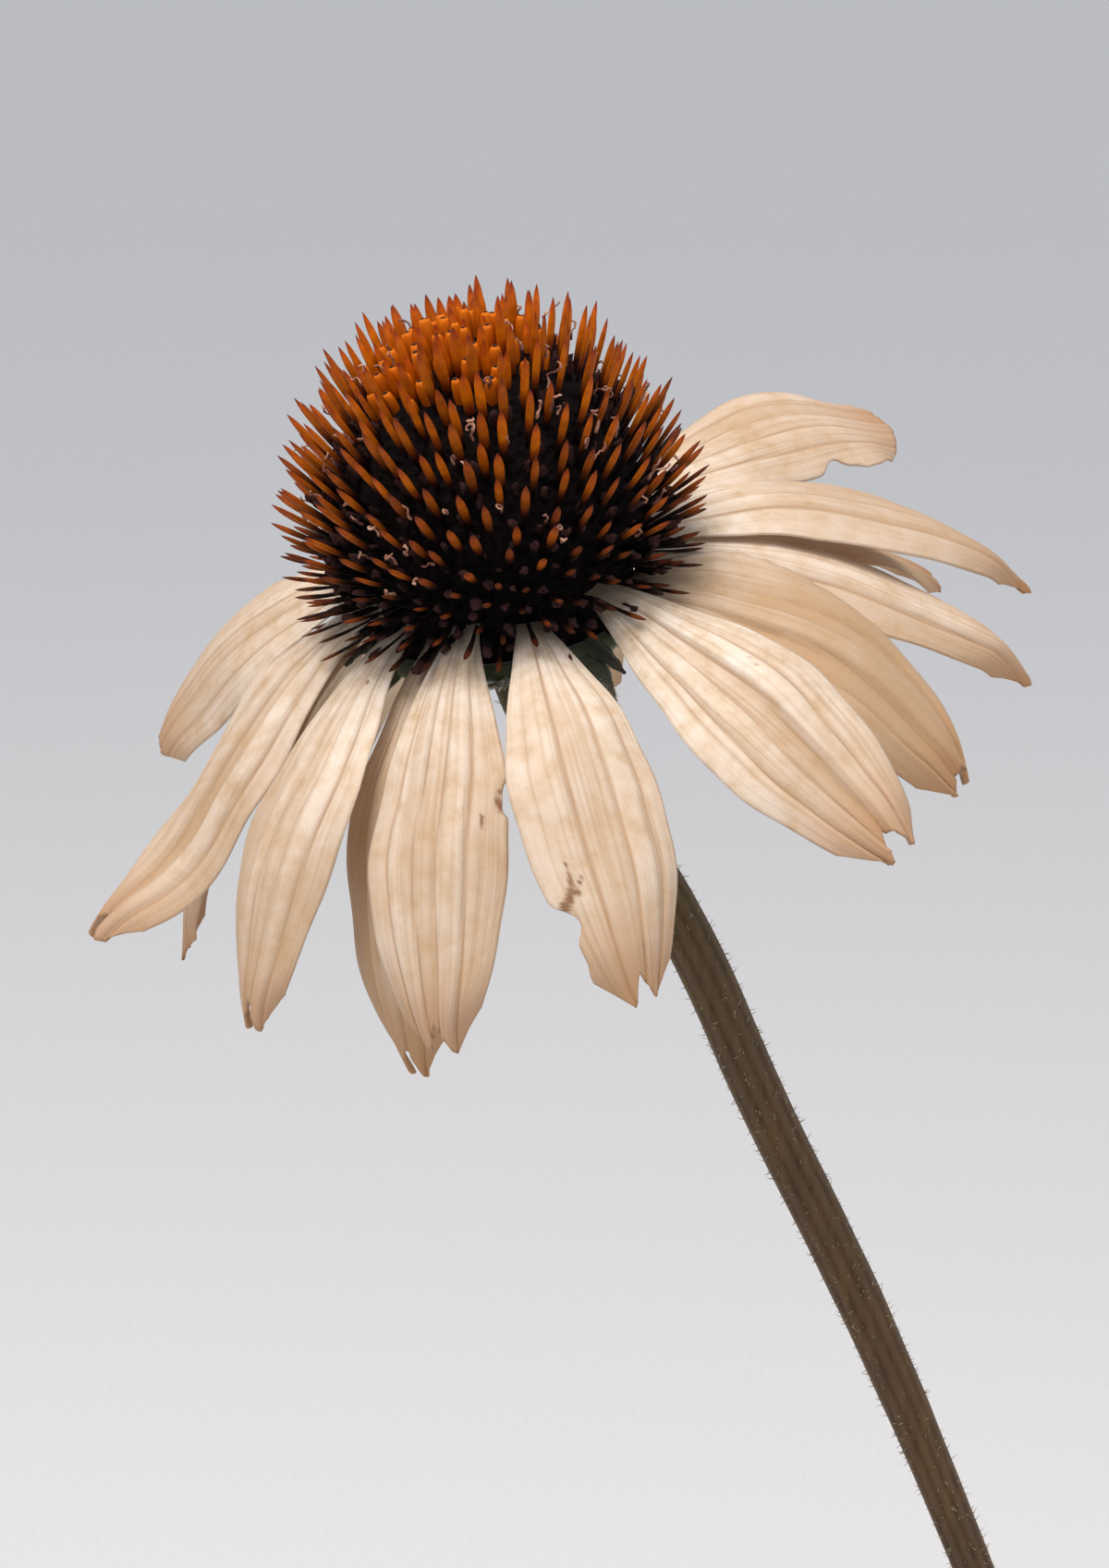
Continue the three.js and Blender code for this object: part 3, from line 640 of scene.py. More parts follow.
LEAF_RING = 10.9
LEAF_LEVEL = 98.2
LEAVES = table(
    "at long wide rise droop roll twist sweep",
    [
        (-160, 107, 33, -66, 40, 5, 4, -6),
        (-118, 128, 35, -70, 34, -6, -5, 5),
        (-77, 112, 31, -62, 46, 4, 8, 4),
        (-38, 122, 34, -68, 42, -3, -6, -5),
        (4, 108, 30, -60, 50, 6, 3, 7),
        (43, 120, 35, -70, 38, -5, 6, -4),
        (84, 95, 31, -56, 46, 3, -8, 5),
        (122, 114, 34, -69, 36, -6, 5, 6),
        (161, 104, 31, -61, 47, 5, -4, -6),
    ],
)
STEM_LEAVES = table(
    "at level long wide rise droop roll twist sweep",
    [
        (70, 126, 60, 17, -52, 48, 4, 6, 6),
        (-125, 150, 54, 15, -50, 44, -5, -6, -5),
        (10, 172, 46, 12.5, -44, 46, 4, 5, 5),
    ],
)
STALK_SHARE = 0.4
STALK_WIDTH = 3.2
STALK_THICK = 2.4
STEM_LEAF_FOOT = 1.4
STEM_LEAF_CLEARANCE = 1.3
LEAF_BURIED = 5.0
STEM_LEAF_BURIED = 2.4
LEAF_ROWS = 126
LEAF_COLUMNS = 31
LEAF_FOLD = 0.1
BLADE_THICK = 0.46
TEETH_EACH_SIDE = 12
SPINE_STATIONS = 260


def smooth_step(low, high, value):
    """A change from 0 to 1 between two values, eased at both."""
    share = np.clip((value - low) / (high - low), 0, 1)
    return share * share * (3 - 2 * share)


def spine(spec, back):
    """The centre line of a leaf or petal from the origin towards the front, and its side and
    upward directions, by share of its length. It also runs back a little behind the origin."""
    s = np.linspace(-back / spec["long"], 1.06, SPINE_STATIONS)

    def heading(where):
        ahead = where.clip(0)
        curl = spec.get("curl", 0) * smooth_step(0.55, 0.9, ahead)
        pitch = np.radians(spec["rise"] + (spec["droop"] - spec["rise"]) * ahead**0.8 + curl)
        yaw = np.radians(spec["sweep"] * ahead)
        return np.stack([np.cos(pitch) * np.sin(yaw), -np.cos(pitch) * np.cos(yaw), -np.sin(pitch)], -1)

    steps = heading((s[1:] + s[:-1]) / 2) * (s[1] - s[0]) * spec["long"]
    line = np.vstack([np.zeros(3), np.cumsum(steps, axis=0)])
    line = line - [np.interp(0, s, line[:, k]) for k in range(3)]
    ahead = heading(s)
    side = unit(np.array([1.0, 0, 0]) - ahead * ahead[:, :1])
    up = np.cross(ahead, side)
    roll = np.radians(spec["roll"] + spec["twist"] * s.clip(0))[:, None]
    return s, line, side * np.cos(roll) + up * np.sin(roll), up * np.cos(roll) - side * np.sin(roll)


def laid_on(backbone, s, sideways, upward):
    """Points at s along a spine, moved sideways and upward from it."""
    stations, line, side, up = backbone
    along, across, above = (
        np.stack([np.interp(s, stations, field[:, k]) for k in range(3)], -1) for field in (line, side, up)
    )
    return along + across * sideways[..., None] + above * upward[..., None]


def plate(middle, above, below):
    """A thin closed body about a grid of points, whose rows run ahead and columns to the side."""
    normal = np.cross(np.gradient(middle, axis=0), np.gradient(middle, axis=1))
    normal /= np.linalg.norm(normal, axis=2)[..., None] + 1e-12
    top = middle + normal * above[..., None]
    under = middle - normal * below[..., None]
    rows, columns = middle.shape[:2]
    size = rows * columns
    grid = np.arange(size).reshape(rows, columns)
    a, b, c, d = grid[:-1, :-1], grid[1:, :-1], grid[1:, 1:], grid[:-1, 1:]
    faces = np.stack([a, b, c, d], -1).reshape(-1, 4)
    edge = np.concatenate([grid[:-1, 0], grid[-1, :-1], grid[:0:-1, -1], grid[0, :0:-1]])
    following = np.roll(edge, -1)
    rim = np.stack([following, edge, edge + size, following + size], 1)
    loops = np.vstack([faces, faces[:, ::-1] + size, rim]).tolist()
    return np.concatenate([top.reshape(-1, 3), under.reshape(-1, 3)]), loops


def both_sides(*fields):
    """The same measure on the upper and the lower side of a plate."""
    return [np.tile(np.ravel(field), 2) for field in fields]


def turn_to(points, at, radius):
    """Points that were built towards the front, moved out and turned to a bearing round Z."""
    cosine, sine = math.cos(math.radians(at)), math.sin(math.radians(at))
    turn = np.array([[cosine, -sine, 0], [sine, cosine, 0], [0, 0, 1]])
    return (points + [0, -radius, 0]) @ turn.T


def leaf(spec, stalk, foot, back, seed):
    """The points, faces and measures of one leaf, at the origin."""
    rng = np.random.default_rng(seed)
    phase = rng.uniform(0, 2 * np.pi, 6)
    s = np.linspace(-back / spec["long"], 1, LEAF_ROWS)[:, None]
    t = np.linspace(-1, 1, LEAF_COLUMNS)[None, :]
    t = np.sign(t) * np.abs(t) ** 1.15
    s, t = np.broadcast_arrays(s, t)
    blade = ((s - stalk) / (1 - stalk)).clip(0, 1)
    in_blade = smooth_step(0.0, 0.08, blade)
    bulge = np.sin(np.pi * blade**0.72).clip(0) ** 1.1
    half = (STALK_WIDTH + (0.8 - STALK_WIDTH) * blade + (spec["wide"] - STALK_WIDTH) * bulge) / 2
    saw = (blade * TEETH_EACH_SIDE + 0.3 * np.sign(t)) % 1
    half = half * (1 + 0.1 * (saw**1.4 - 0.4) * np.abs(t) ** 5 * in_blade)
    half = half * (1 - 0.8 * smooth_step(0.9, 1.0, blade))
    sideways = t * half
    first = 0.46 * (1 - np.exp(-blade / 0.13)) * (1 - 0.4 * blade)
    second = 0.85 * (1 - np.exp(-blade / 0.09))
    away = np.abs(t)
    fade = in_blade * (1 - blade) ** 0.4
    mid_vein = np.exp(-((sideways / 0.7) ** 2))
    side_veins = np.exp(-(((away - first) * half / 0.6) ** 2)) * (1 - blade) ** 0.5
    outer_veins = np.exp(-(((away - second) * half / 0.55) ** 2)) * (1 - smooth_step(0.45, 0.75, blade))
    side_veins = side_veins + 0.8 * outer_veins
    side_veins = (side_veins * in_blade).clip(0, 1)
    quilt = np.sin(2 * np.pi * (blade * spec["long"] / 8.5 - 1.5 * away)) * away * (1 - away) * 4
    upward = LEAF_FOLD * spec["wide"] * (away - 0.22 * away**2) * np.minimum(1, 3 * blade)
    wave = np.sin(2 * np.pi * 2.3 * blade + phase[0] + np.sign(t))
    upward = upward + 0.03 * spec["wide"] * wave * t**2 * in_blade
    upward = upward + 0.2 * quilt * fade - 0.42 * side_veins - 0.5 * mid_vein * in_blade * (1 - 0.6 * blade)
    sway = 0.8 * np.sin(5 * s + phase[1]) + 0.4 * np.sin(11 * s + phase[2])
    middle = laid_on(spine(spec, back), s, sideways + sway * smooth_step(0.05, 0.4, s) * 0.8, upward)
    hoop = np.sqrt(1 - 0.97 * t**2)
    thick = foot + (BLADE_THICK - foot) * np.minimum(1, 2.2 * s.clip(0))
    stalk_above = 0.5 * thick * hoop - 0.3 * thick * np.exp(-((t / 0.4) ** 2))
    stalk_below = 0.6 * thick * hoop
    above = stalk_above * (1 - in_blade) + BLADE_THICK / 2 * in_blade
    vein_bulge = 0.9 * mid_vein * (1 - 0.75 * blade) + 0.3 * side_veins
    below = stalk_below * (1 - in_blade) + (BLADE_THICK / 2 + vein_bulge) * in_blade
    points, faces = plate(middle, above, below)
    vein = np.maximum(mid_vein, side_veins) * in_blade + 0.5 * (1 - in_blade)
    along, across, veined = both_sides(blade, t, vein)
    under = np.repeat([0.0, 1.0], points.shape[0] // 2)
    tone = np.full(len(points), rng.random())
    return points, faces, dict(along=along, across=across, vein=veined, under=under, tone=tone)


# Rough leaf: a dull green in patches 10 mm across, veined, paler below, lit through a little
leaf_skin, tree, *fields = new_material("coneflower_leaf_rough", "along across vein under tone place")
along, across, vein, under, tone, place = fields
mottle = add(tree, "TexNoise", {"Vector": place, "Scale": 90.0, "Detail": 5.0, "Roughness": 0.6})
toned = add(tree, "Math", {0: tone, 1: 0.35, 2: mottle}, operation="MULTIPLY_ADD")
green = add(
    tree, "ValToRGB", {"Fac": toned},
    stops=[(0.3, "#34482A"), (0.52, "#43592F"), (0.72, "#566B38"), (0.95, "#768048")],
)
# The net of small veins is 1 to 1.5 mm across
cells = add(tree, "TexVoronoi", {"Vector": place, "Scale": 800.0}, feature="DISTANCE_TO_EDGE")
net = add(tree, "ValToRGB", {"Fac": cells}, stops=[(0.0, "#C4CC9A"), (0.09, "#FFFFFF")])
netted = add(tree, "Mix", {0: 0.35, 6: green, 7: net}, **MULTIPLIED)
veined = stained(tree, netted, (vein, 0.35, 1.0, 0.0, 0.75, "#8E9660"))
paler = add(tree, "Math", {0: under, 1: 0.6}, operation="MULTIPLY")
below = add(tree, "Mix", {0: paler, 6: veined, 7: "#8B9A70"}, **LAID_OVER)
edge = add(tree, "Math", {0: across, 1: across}, operation="MULTIPLY")
tip = add(tree, "MapRange", {"Value": along, "From Min": 0.62, "From Max": 1.0, "To Max": 0.5})
patch = add(tree, "TexNoise", {"Vector": place, "Scale": 55.0, "Detail": 6.0, "Roughness": 0.7})
dying = add(tree, "Math", {0: edge, 1: 0.16, 2: tip}, operation="MULTIPLY_ADD")
dying = add(tree, "Math", {0: dying, 1: patch}, operation="ADD")
browned = stained(tree, below, (dying, 0.72, 1.02, 0.0, 0.95, "#7A5E35"))
relief = add(tree, "Bump", {"Height": cells, "Strength": 0.5, "Distance": 0.0004})
relief = add(tree, "Bump", {"Height": mottle, "Strength": 0.4, "Distance": 0.0004, "Normal": relief})
blade_skin = add(
    tree, "BsdfPrincipled",
    {"Base Color": browned, "Roughness": 0.58, "Normal": relief, "Sheen Weight": 0.15,
     "Sheen Roughness": 0.6},
)
glow = add(tree, "BsdfTranslucent", {"Color": browned, "Normal": relief})
skin = add(tree, "MixShader", {0: 0.16, 1: blade_skin, 2: glow})
add(tree, "OutputMaterial", {"Surface": skin})

for i, spec in enumerate(LEAVES, 1):
    points, faces, measures = leaf(spec, STALK_SHARE, STALK_THICK, LEAF_BURIED, 100 + i)
    points = turn_to(points, spec["at"], LEAF_RING) + [*ROOT_PLACE, LEAF_LEVEL]
    piece = made(f"rosette_leaf_{i:02d}", points, faces, leaf_skin, **measures)
    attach(piece, "root")
    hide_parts(f"basal_leaf_{i:02d}")

for i, spec in enumerate(STEM_LEAVES, 1):
    points, faces, measures = leaf(spec, 0.0, STEM_LEAF_FOOT, STEM_LEAF_BURIED, 200 + i)
    joint = np.array([np.interp(spec["level"], stem_line[:, 2], stem_line[:, k]) for k in range(3)])
    radius = np.interp(spec["level"], stem_line[:, 2], line[:, 3]) + STEM_LEAF_CLEARANCE
    points = turn_to(points, spec["at"], radius) + joint
    piece = made(f"stalk_leaf_{i:02d}", points, faces, leaf_skin, **measures)
    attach(piece, "root")
    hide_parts(f"stem_leaf_{i:02d}")

# Involucre. The shallow green cup under the flower head, where the stem spreads out, ribbed and
# hairy, with two rows of small pointed bracts on its edge, folded down by the petals. The outer
# row is one piece each; the shorter inner row, dark where it dries, belongs to the cup.
HEAD_CENTRE = np.array([-62.0, 6.0, 322.0])
HEAD_NOD = math.radians(14.5)
HEAD_BEARING = math.radians(225.0)
CUP_PROFILE = [
    (0.0, -14.6),
    (2.9, -14.5),
    (3.8, -13.1),
    (6.5, -11.9),
    (10.8, -11.0),
    (12.6, -9.6),
    (12.3, -8.8),
    (11.5, -8.7),
]
CUP_INSIDE = [(11.4, -10.0), (0.0, -10.0)]
CUP_RINGS = 46
CUP_SEGMENTS = 144
BRACT_RING = 12.9
BRACT_LEVEL = -10.0
BRACT_WIDTH = 3.4
BRACTS = table(
    "at long rise droop",
    [
        (-3, 4.6, -24, -10),
        (28, 6.4, 8, 30),
        (58, 9.0, 32, 60),
        (88, 9.5, 28, 66),
        (118, 10.0, 26, 62),
        (148, 9.5, 30, 68),
        (178, 10.0, 34, 74),
        (-153, 9.0, 30, 70),
        (-123, 10.0, 34, 72),
        (-93, 9.5, 38, 76),
        (-63, 9.0, 34, 72),
        (-33, 9.0, 40, 78),
    ],
)
CUP_RIBS = 22
INNER_BRACTS = 14
INNER_BRACT_RING = 12.2
INNER_BRACT_LEVEL = -8.9
INNER_BRACT_WIDTH = 2.5
CUP_BRISTLES = 700
CUP_BRISTLE_LENGTH = (0.3, 0.8)
CUP_BRISTLE_RADIUS = 0.04
BRACT_ROWS = 36
BRACT_COLUMNS = 11

sideways = math.sin(HEAD_NOD)
axis = np.array([sideways * math.cos(HEAD_BEARING), sideways * math.sin(HEAD_BEARING), math.cos(HEAD_NOD)])
rightward = unit(np.array([1.0, 0, 0]) - axis * axis[0])
head_turn = np.column_stack([rightward, np.cross(axis, rightward), axis])


def on_head(points):
    """Points of the head's own frame, whose Z is the cone's axis, moved to where the head is."""
    return np.asarray(points) @ head_turn.T + HEAD_CENTRE


def bract(spec, wide, seed):
    """One pointed bract, at the origin, thin at its edges and keeled along its middle."""
    rng = np.random.default_rng(seed)
    s = np.linspace(-0.14, 1, BRACT_ROWS)[:, None]
    t = np.linspace(-1, 1, BRACT_COLUMNS)[None, :]
    s, t = np.broadcast_arrays(s, t)
    half = wide / 2 * (1 - 0.93 * s.clip(0) ** 1.5) * (1 + 0.05 * np.sin(9 * s + rng.uniform(0, 6)))
    keel = 0.3 * np.abs(t) * half / (wide / 2) - 0.12 * np.exp(-((t / 0.25) ** 2))
    ripple = 0.12 * np.sin(14 * s + 2 * np.sign(t) + rng.uniform(0, 6)) * t**2
    spec = dict(roll=rng.uniform(-9, 9), twist=rng.uniform(-16, 16), sweep=rng.uniform(-8, 8)) | spec
    middle = laid_on(spine(spec, 0.16 * spec["long"]), s, t * half, ripple - keel)
    thin = 0.2 * (1 - 0.55 * np.abs(t) ** 3) * (1 - 0.35 * s.clip(0))
    points, faces = plate(middle, thin, thin)
    top = points[: len(points) // 2].reshape(BRACT_ROWS, BRACT_COLUMNS, 3)
    roots = np.concatenate([top[3::2, column] for column in (0, BRACT_COLUMNS // 2, -1)])
    return points, faces, both_sides(s.clip(0))[0], roots


# Living green, dull under its hairs, darker towards the point where it dries
bract_skin = textured(
    "bract_green_hairy",
    {"Scale": 700.0, "Detail": 4.0},
    [(0.1, "#55623F"), (0.45, "#35432E"), (0.8, "#222E26"), (1.0, "#3A3326")],
    {"Roughness": 0.7, "Sheen Weight": 0.3},
    measure=("along", 0.4),
    relief=(0.5, 0.0003),
)

rng = np.random.default_rng(31)
hair_roots, hair_out = [], []
for i, spec in enumerate(BRACTS, 1):
    points, faces, along_bract, roots = bract(spec, BRACT_WIDTH, 300 + i)
    points, roots = (
        on_head(turn_to(found, spec["at"], BRACT_RING) + [0, 0, BRACT_LEVEL]) for found in (points, roots)
    )
    piece = made(f"bract_leaf_{i:02d}", points, faces, bract_skin, along=along_bract)
    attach(piece, "root")
    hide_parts(f"bract_{i:02d}")
    hair_roots.append(roots)
    hair_out.append(roots - on_head([0, 0, -2]))

profile = smooth_profile(CUP_PROFILE, CUP_RINGS)
profile[0, 0] = 0.0
profile = np.vstack([profile, CUP_INSIDE])
points, faces = turned(profile, CUP_SEGMENTS)
around = np.arctan2(points[:, 1], points[:, 0])
ribbed = 1 + (0.02 * np.sin(around * CUP_RIBS) + 0.014 * bumps(points, 1.6, 8)) * (points[:, 2] < -9)
points[:, :2] *= ribbed[:, None]
parts, measure = [(on_head(points), faces)], [0.1 * np.ones(len(points))]
hairy = (points[:, 2] < -9.2) & (np.hypot(points[:, 0], points[:, 1]) > 3)
picked = rng.choice(np.flatnonzero(hairy), CUP_BRISTLES)
hair_roots.append(on_head(points[picked]))
hair_out.append(on_head(points[picked]) - on_head([0, 0, -6]))
for k in range(INNER_BRACTS):
    spec = dict(long=rng.uniform(4.2, 5.6), rise=rng.uniform(10, 24), droop=rng.uniform(40, 56))
    points, faces, along_bract, roots = bract(spec, INNER_BRACT_WIDTH, 330 + k)
    points = turn_to(points, 360 * (k + 0.4) / INNER_BRACTS, INNER_BRACT_RING) + [0, 0, INNER_BRACT_LEVEL]
    parts.append((on_head(points), faces))
    measure.append(along_bract * 0.9 + 0.1)
points, faces = gathered(parts)
cup = made("flower_cup", points, faces, bract_skin, along=np.concatenate(measure))
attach(cup, "root")
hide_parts("involucre")
roots, out = np.vstack(hair_roots), np.vstack(hair_out)
out = unit(out)
ahead = unit(np.cross(out, rng.standard_normal(out.shape)))
hairs, faces = bristles(roots, out, ahead, CUP_BRISTLE_LENGTH, CUP_BRISTLE_RADIUS, rng)
cup_hairs = made("cup_bristles", hairs, faces, bristle_skin)
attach(cup_hairs, "root")

# Cone. A domed receptacle closely set with stiff pointed scales in crossing spirals. Each scale is
# painted nearly black for the shade at its foot, orange where it widens and red-brown at its point;
# between them stand the withered florets, some with a curled pinkish style. Receptacle and florets
# are dark brown, painted near-black for the shade deep between the scales.
CONE_RADIUS = 13.7
CONE_HEIGHT = 17.0
CONE_SEGMENTS = 120
CONE_NECK = [(0.0, -9.7), (10.8, -9.7), (11.4, -9.0), (11.4, -3.2)]
TIP_RADIUS = 19.2
TIP_HEIGHT = 22.3
FAN_HIGH = -11.0
FAN_LOW = -3.0
SCALE_COUNT = 470
LOWEST_SCALE = math.radians(-22)
GOLDEN_ANGLE = math.radians(137.508)
SCALE_STATIONS = [0.0, 0.2, 0.38, 0.52, 0.64, 0.74, 0.82, 0.89, 0.94, 0.975, 1.0]
SCALE_HALF_WIDTHS = [0.28, 0.29, 0.34, 0.43, 0.50, 0.52, 0.49, 0.39, 0.26, 0.13, 0.03]
SCALE_SIDES = 8
SCALE_FLATTEN = 0.6
SCALE_RISE = 0.7
APEX_LEAN = 0.08
SCALE_FOOT = 0.68
FLORET_COUNT = 470
FLORET_STATIONS = [0.0, 0.3, 0.6, 0.8, 0.92, 1.0]
FLORET_HALF_WIDTHS = [0.3, 0.3, 0.32, 0.34, 0.3, 0.12]
FLORET_SIDES = 7
FLORET_FLATTEN = 0.9
BUD_COUNT = 58
BUD_STATIONS = [0.0, 0.45, 0.72, 0.86, 0.95, 1.0, 0.975]
BUD_HALF_WIDTHS = [0.4, 0.5, 0.58, 0.56, 0.45, 0.27, 0.18]
BUD_COLOUR_STATIONS = [0.0, 0.4, 0.7, 0.8, 0.84, 0.895, 1.0]
BUD_SIDES = 10
BUD_FLATTEN = 0.95
BUD_FOOT = 0.72
STYLE_COUNT = 105
STYLE_STEPS = 18
STYLE_PLACES = (18, 330)


def cone_seat(order, count, rng, jitter=0.014):
    """Bearing, latitude and share of the way down the cone of one piece in its spiral."""
    down = ((order + 0.5) / count).clip(0, 1)
    latitude = np.arcsin(1 - (1 - math.sin(LOWEST_SCALE)) * down**1.08)
    scatter = jitter * rng.standard_normal((2, np.size(order)))
    bearing = order * GOLDEN_ANGLE + scatter[0] / np.maximum(0.25, np.cos(latitude))
    latitude = latitude + scatter[1] * 0.7
    level = np.cos(latitude)
    aim = np.stack([level * np.cos(bearing), level * np.sin(bearing), np.sin(latitude)], -1)
    # The centre of the spirals has grown a little to the left of the top
    lowest = math.sin(LOWEST_SCALE)
    aim[:, 0] -= APEX_LEAN * ((aim[:, 2] - lowest) / (1 - lowest)).clip(0) ** 2
    aim = unit(aim)
    return np.arctan2(aim[:, 1], aim[:, 0]), np.arcsin(aim[:, 2]), down


def out_to_tip(bearing, latitude):
    """Where a scale at that bearing and latitude ends, and the point that it fans out from: low
    inside the cone for the upper scales, which so point upwards, and higher for the lowest."""
    level = TIP_RADIUS * np.cos(latitude)
    tips = np.stack([level * np.cos(bearing), level * np.sin(bearing), TIP_HEIGHT * np.sin(latitude)], -1)
    depth = FAN_LOW + (FAN_HIGH - FAN_LOW) * smooth_step(-0.3, 0.4, latitude)
    return tips, np.stack([0 * depth, 0 * depth, depth], -1)


dome = np.radians(np.arange(-4, 90, 3.0))
profile = CONE_NECK + [(CONE_RADIUS * math.cos(a), CONE_HEIGHT * math.sin(a)) for a in dome]
points, faces = turned(profile + [(0.0, CONE_HEIGHT)], CONE_SEGMENTS)
chaff = 1 + 0.022 * bumps(points, 0.9, 9) + 0.02 * bumps(points, 2.5, 10)
points = points * chaff[:, None]
# Dried pith between the scales: dark brown, painted almost black for the shade that falls deep
# between the scales; it has no shine and is pitted every millimetre
receptacle_skin = textured(
    "receptacle_dried_brown_painted_shade",
    {"Scale": 1100.0},
    [(0.05, "#070507"), (0.6, "#140D0E")],
    {"Roughness": 0.95, "Specular IOR Level": 0.08},
    kind="TexVoronoi",
    relief=(0.9, 0.0006),
)
receptacle = made("cone_receptacle", on_head(points), faces, receptacle_skin)
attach(receptacle, "root")
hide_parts("cone")

# Scales: stiff and horny, so faintly glossy, with a grain drawn 1 mm long so that it shows
scale_skin, tree, *fields = new_material("cone_scale_stiff_glossy", "along down chance place")
along, down, chance, place = fields
grain = add(tree, "TexNoise", {"Vector": place, "Scale": 900.0, "Detail": 4.0})
# Both ramps paint the foot of each scale near-black: painted shade deep among the scales.
bright = add(
    tree, "ValToRGB", {"Fac": along},
    stops=[(0.0, "#060405"), (0.38, "#100708"), (0.5, "#33130A"), (0.6, "#A04A04"), (0.7, "#E07A02"),
           (0.88, "#DA6C04"), (0.955, "#B34A0A"), (1.0, "#6B2410")],
)
dull = add(
    tree, "ValToRGB", {"Fac": along},
    stops=[(0.0, "#050405"), (0.54, "#0D0708"), (0.68, "#2E150C"), (0.8, "#874019"), (0.91, "#85401F"),
           (1.0, "#3E201A")],
)
chancy = add(tree, "Math", {0: chance, 1: 0.42, 2: down}, operation="MULTIPLY_ADD")
age = add(tree, "MapRange", {"Value": chancy, "From Min": 0.2, "From Max": 0.98})
aged = add(tree, "Mix", {0: age, 6: bright, 7: dull}, **LAID_OVER)
withered = stained(tree, aged, (chancy, 0.85, 1.2, 0.0, 0.8, "#1E120E"))
grain_shade = add(tree, "ValToRGB", {"Fac": grain}, stops=[(0.3, "#B8A8A0"), (0.65, "#FFFFFF")])
grained = add(tree, "Mix", {0: 0.7, 6: withered, 7: grain_shade}, **MULTIPLIED)
relief = add(tree, "Bump", {"Height": grain, "Strength": 0.3, "Distance": 0.0002})
horny = add(
    tree, "BsdfPrincipled",
    {"Base Color": grained, "Roughness": 0.48, "Specular IOR Level": 0.14, "Normal": relief},
)
add(tree, "OutputMaterial", {"Surface": horny})


def spikes(bearing, latitude, foot, reach, stations, widths, sides, flatten, rise):
    """Pointed bodies fanning out of the cone. foot and reach are shares of the way out to the
    ellipsoid of the tips, and rise bends each a little towards the top of the cone."""
    tips, centre = out_to_tip(bearing, latitude)
    out = tips - centre
    start, end = centre + out * foot[:, None], centre + out * reach[:, None]
    east = np.stack([-np.sin(bearing), np.cos(bearing), np.zeros_like(bearing)], -1)
    north = np.cross(unit(out), east)
    share = np.asarray(stations)[None, :, None]
    bend = rise[:, None, None] * (share**2 - share)
    line = start[:, None] + (end - start)[:, None] * share + north[:, None] * bend
    angles = round_angles(sides)
    ring = np.cos(angles)[:, None] * east[:, None] + flatten * np.sin(angles)[:, None] * north[:, None]
    return line[:, :, None] + ring[:, None] * widths[:, :, None, None]


def fanned(name, points, material, stations, **measures):
    """One piece of many spikes, with the station of each point and the measures of each spike."""
    count, rings, sides = points.shape[:3]
    faces = repeated(tube_faces(rings, sides), count, rings * sides)
    measures = {measure: np.repeat(values, rings * sides) for measure, values in measures.items()}
    along = np.tile(np.repeat(stations, sides), count)
    return made(name, on_head(points.reshape(-1, 3)), faces, material, along=along, **measures)


rng = np.random.default_rng(41)
order = np.arange(SCALE_COUNT)
bearing, latitude, down = cone_seat(order, SCALE_COUNT, rng)
chance = rng.random(SCALE_COUNT)
young = smooth_step(0.16, 0.0, down)
foot = SCALE_FOOT - 0.02 * young
reach = 1 + 0.03 * rng.standard_normal(SCALE_COUNT).clip(-1.6, 1.3) - 0.055 * young
widths = np.array(SCALE_HALF_WIDTHS) * (1 + 0.1 * rng.standard_normal((SCALE_COUNT, 1)))
widths = 0.87 * widths * (1 + 0.36 * young[:, None]) * (1 - 0.45 * smooth_step(0.5, 1.0, down)[:, None])
rise = SCALE_RISE * (0.6 + 0.8 * rng.random(SCALE_COUNT)) * np.cos(latitude)
points = spikes(bearing, latitude, foot, reach, SCALE_STATIONS, widths, SCALE_SIDES, SCALE_FLATTEN, rise)
scales = fanned("cone_scales", points, scale_skin, SCALE_STATIONS, down=down, chance=chance)
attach(scales, "root")

# Florets: dry, dull, dark brown tubes with ragged brown ends, wrinkled every 0.7 mm, painted
# almost black for the shade deep between the scales. At the top of the cone they are still shut
# buds, packed between shorter scales.
floret_skin = textured(
    "floret_withered_painted_shade",
    {"Scale": 1500.0, "Detail": 3.0},
    [(0.3, "#050404"), (0.85, "#0D0809"), (0.95, "#1D1012"), (1.0, "#3E2726")],
    {"Roughness": 0.85, "Specular IOR Level": 0.12},
    measure=("along", 0.5),
    relief=(0.7, 0.0003),
)
order = np.arange(FLORET_COUNT) + 0.5
bearing, latitude, down = cone_seat(order, FLORET_COUNT, rng, jitter=0.03)
kept = down > 0.05
bearing, latitude = bearing[kept], latitude[kept]
count = len(bearing)
widths = np.array(FLORET_HALF_WIDTHS) * (1 + 0.16 * rng.standard_normal((count, 1)))
widths = widths * (1 + 0.2 * rng.standard_normal((count, len(FLORET_STATIONS))))
top = 0.83 + 0.045 * rng.standard_normal(count).clip(-1.5, 1.5)
foot, bend = np.full(count, SCALE_FOOT), 0.4 * rng.standard_normal(count)
points = spikes(bearing, latitude, foot, top, FLORET_STATIONS, widths, FLORET_SIDES, FLORET_FLATTEN, bend)
points = points + 0.1 * rng.standard_normal(points.shape)
florets = fanned("withered_florets", points, floret_skin, FLORET_STATIONS)
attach(florets, "root")

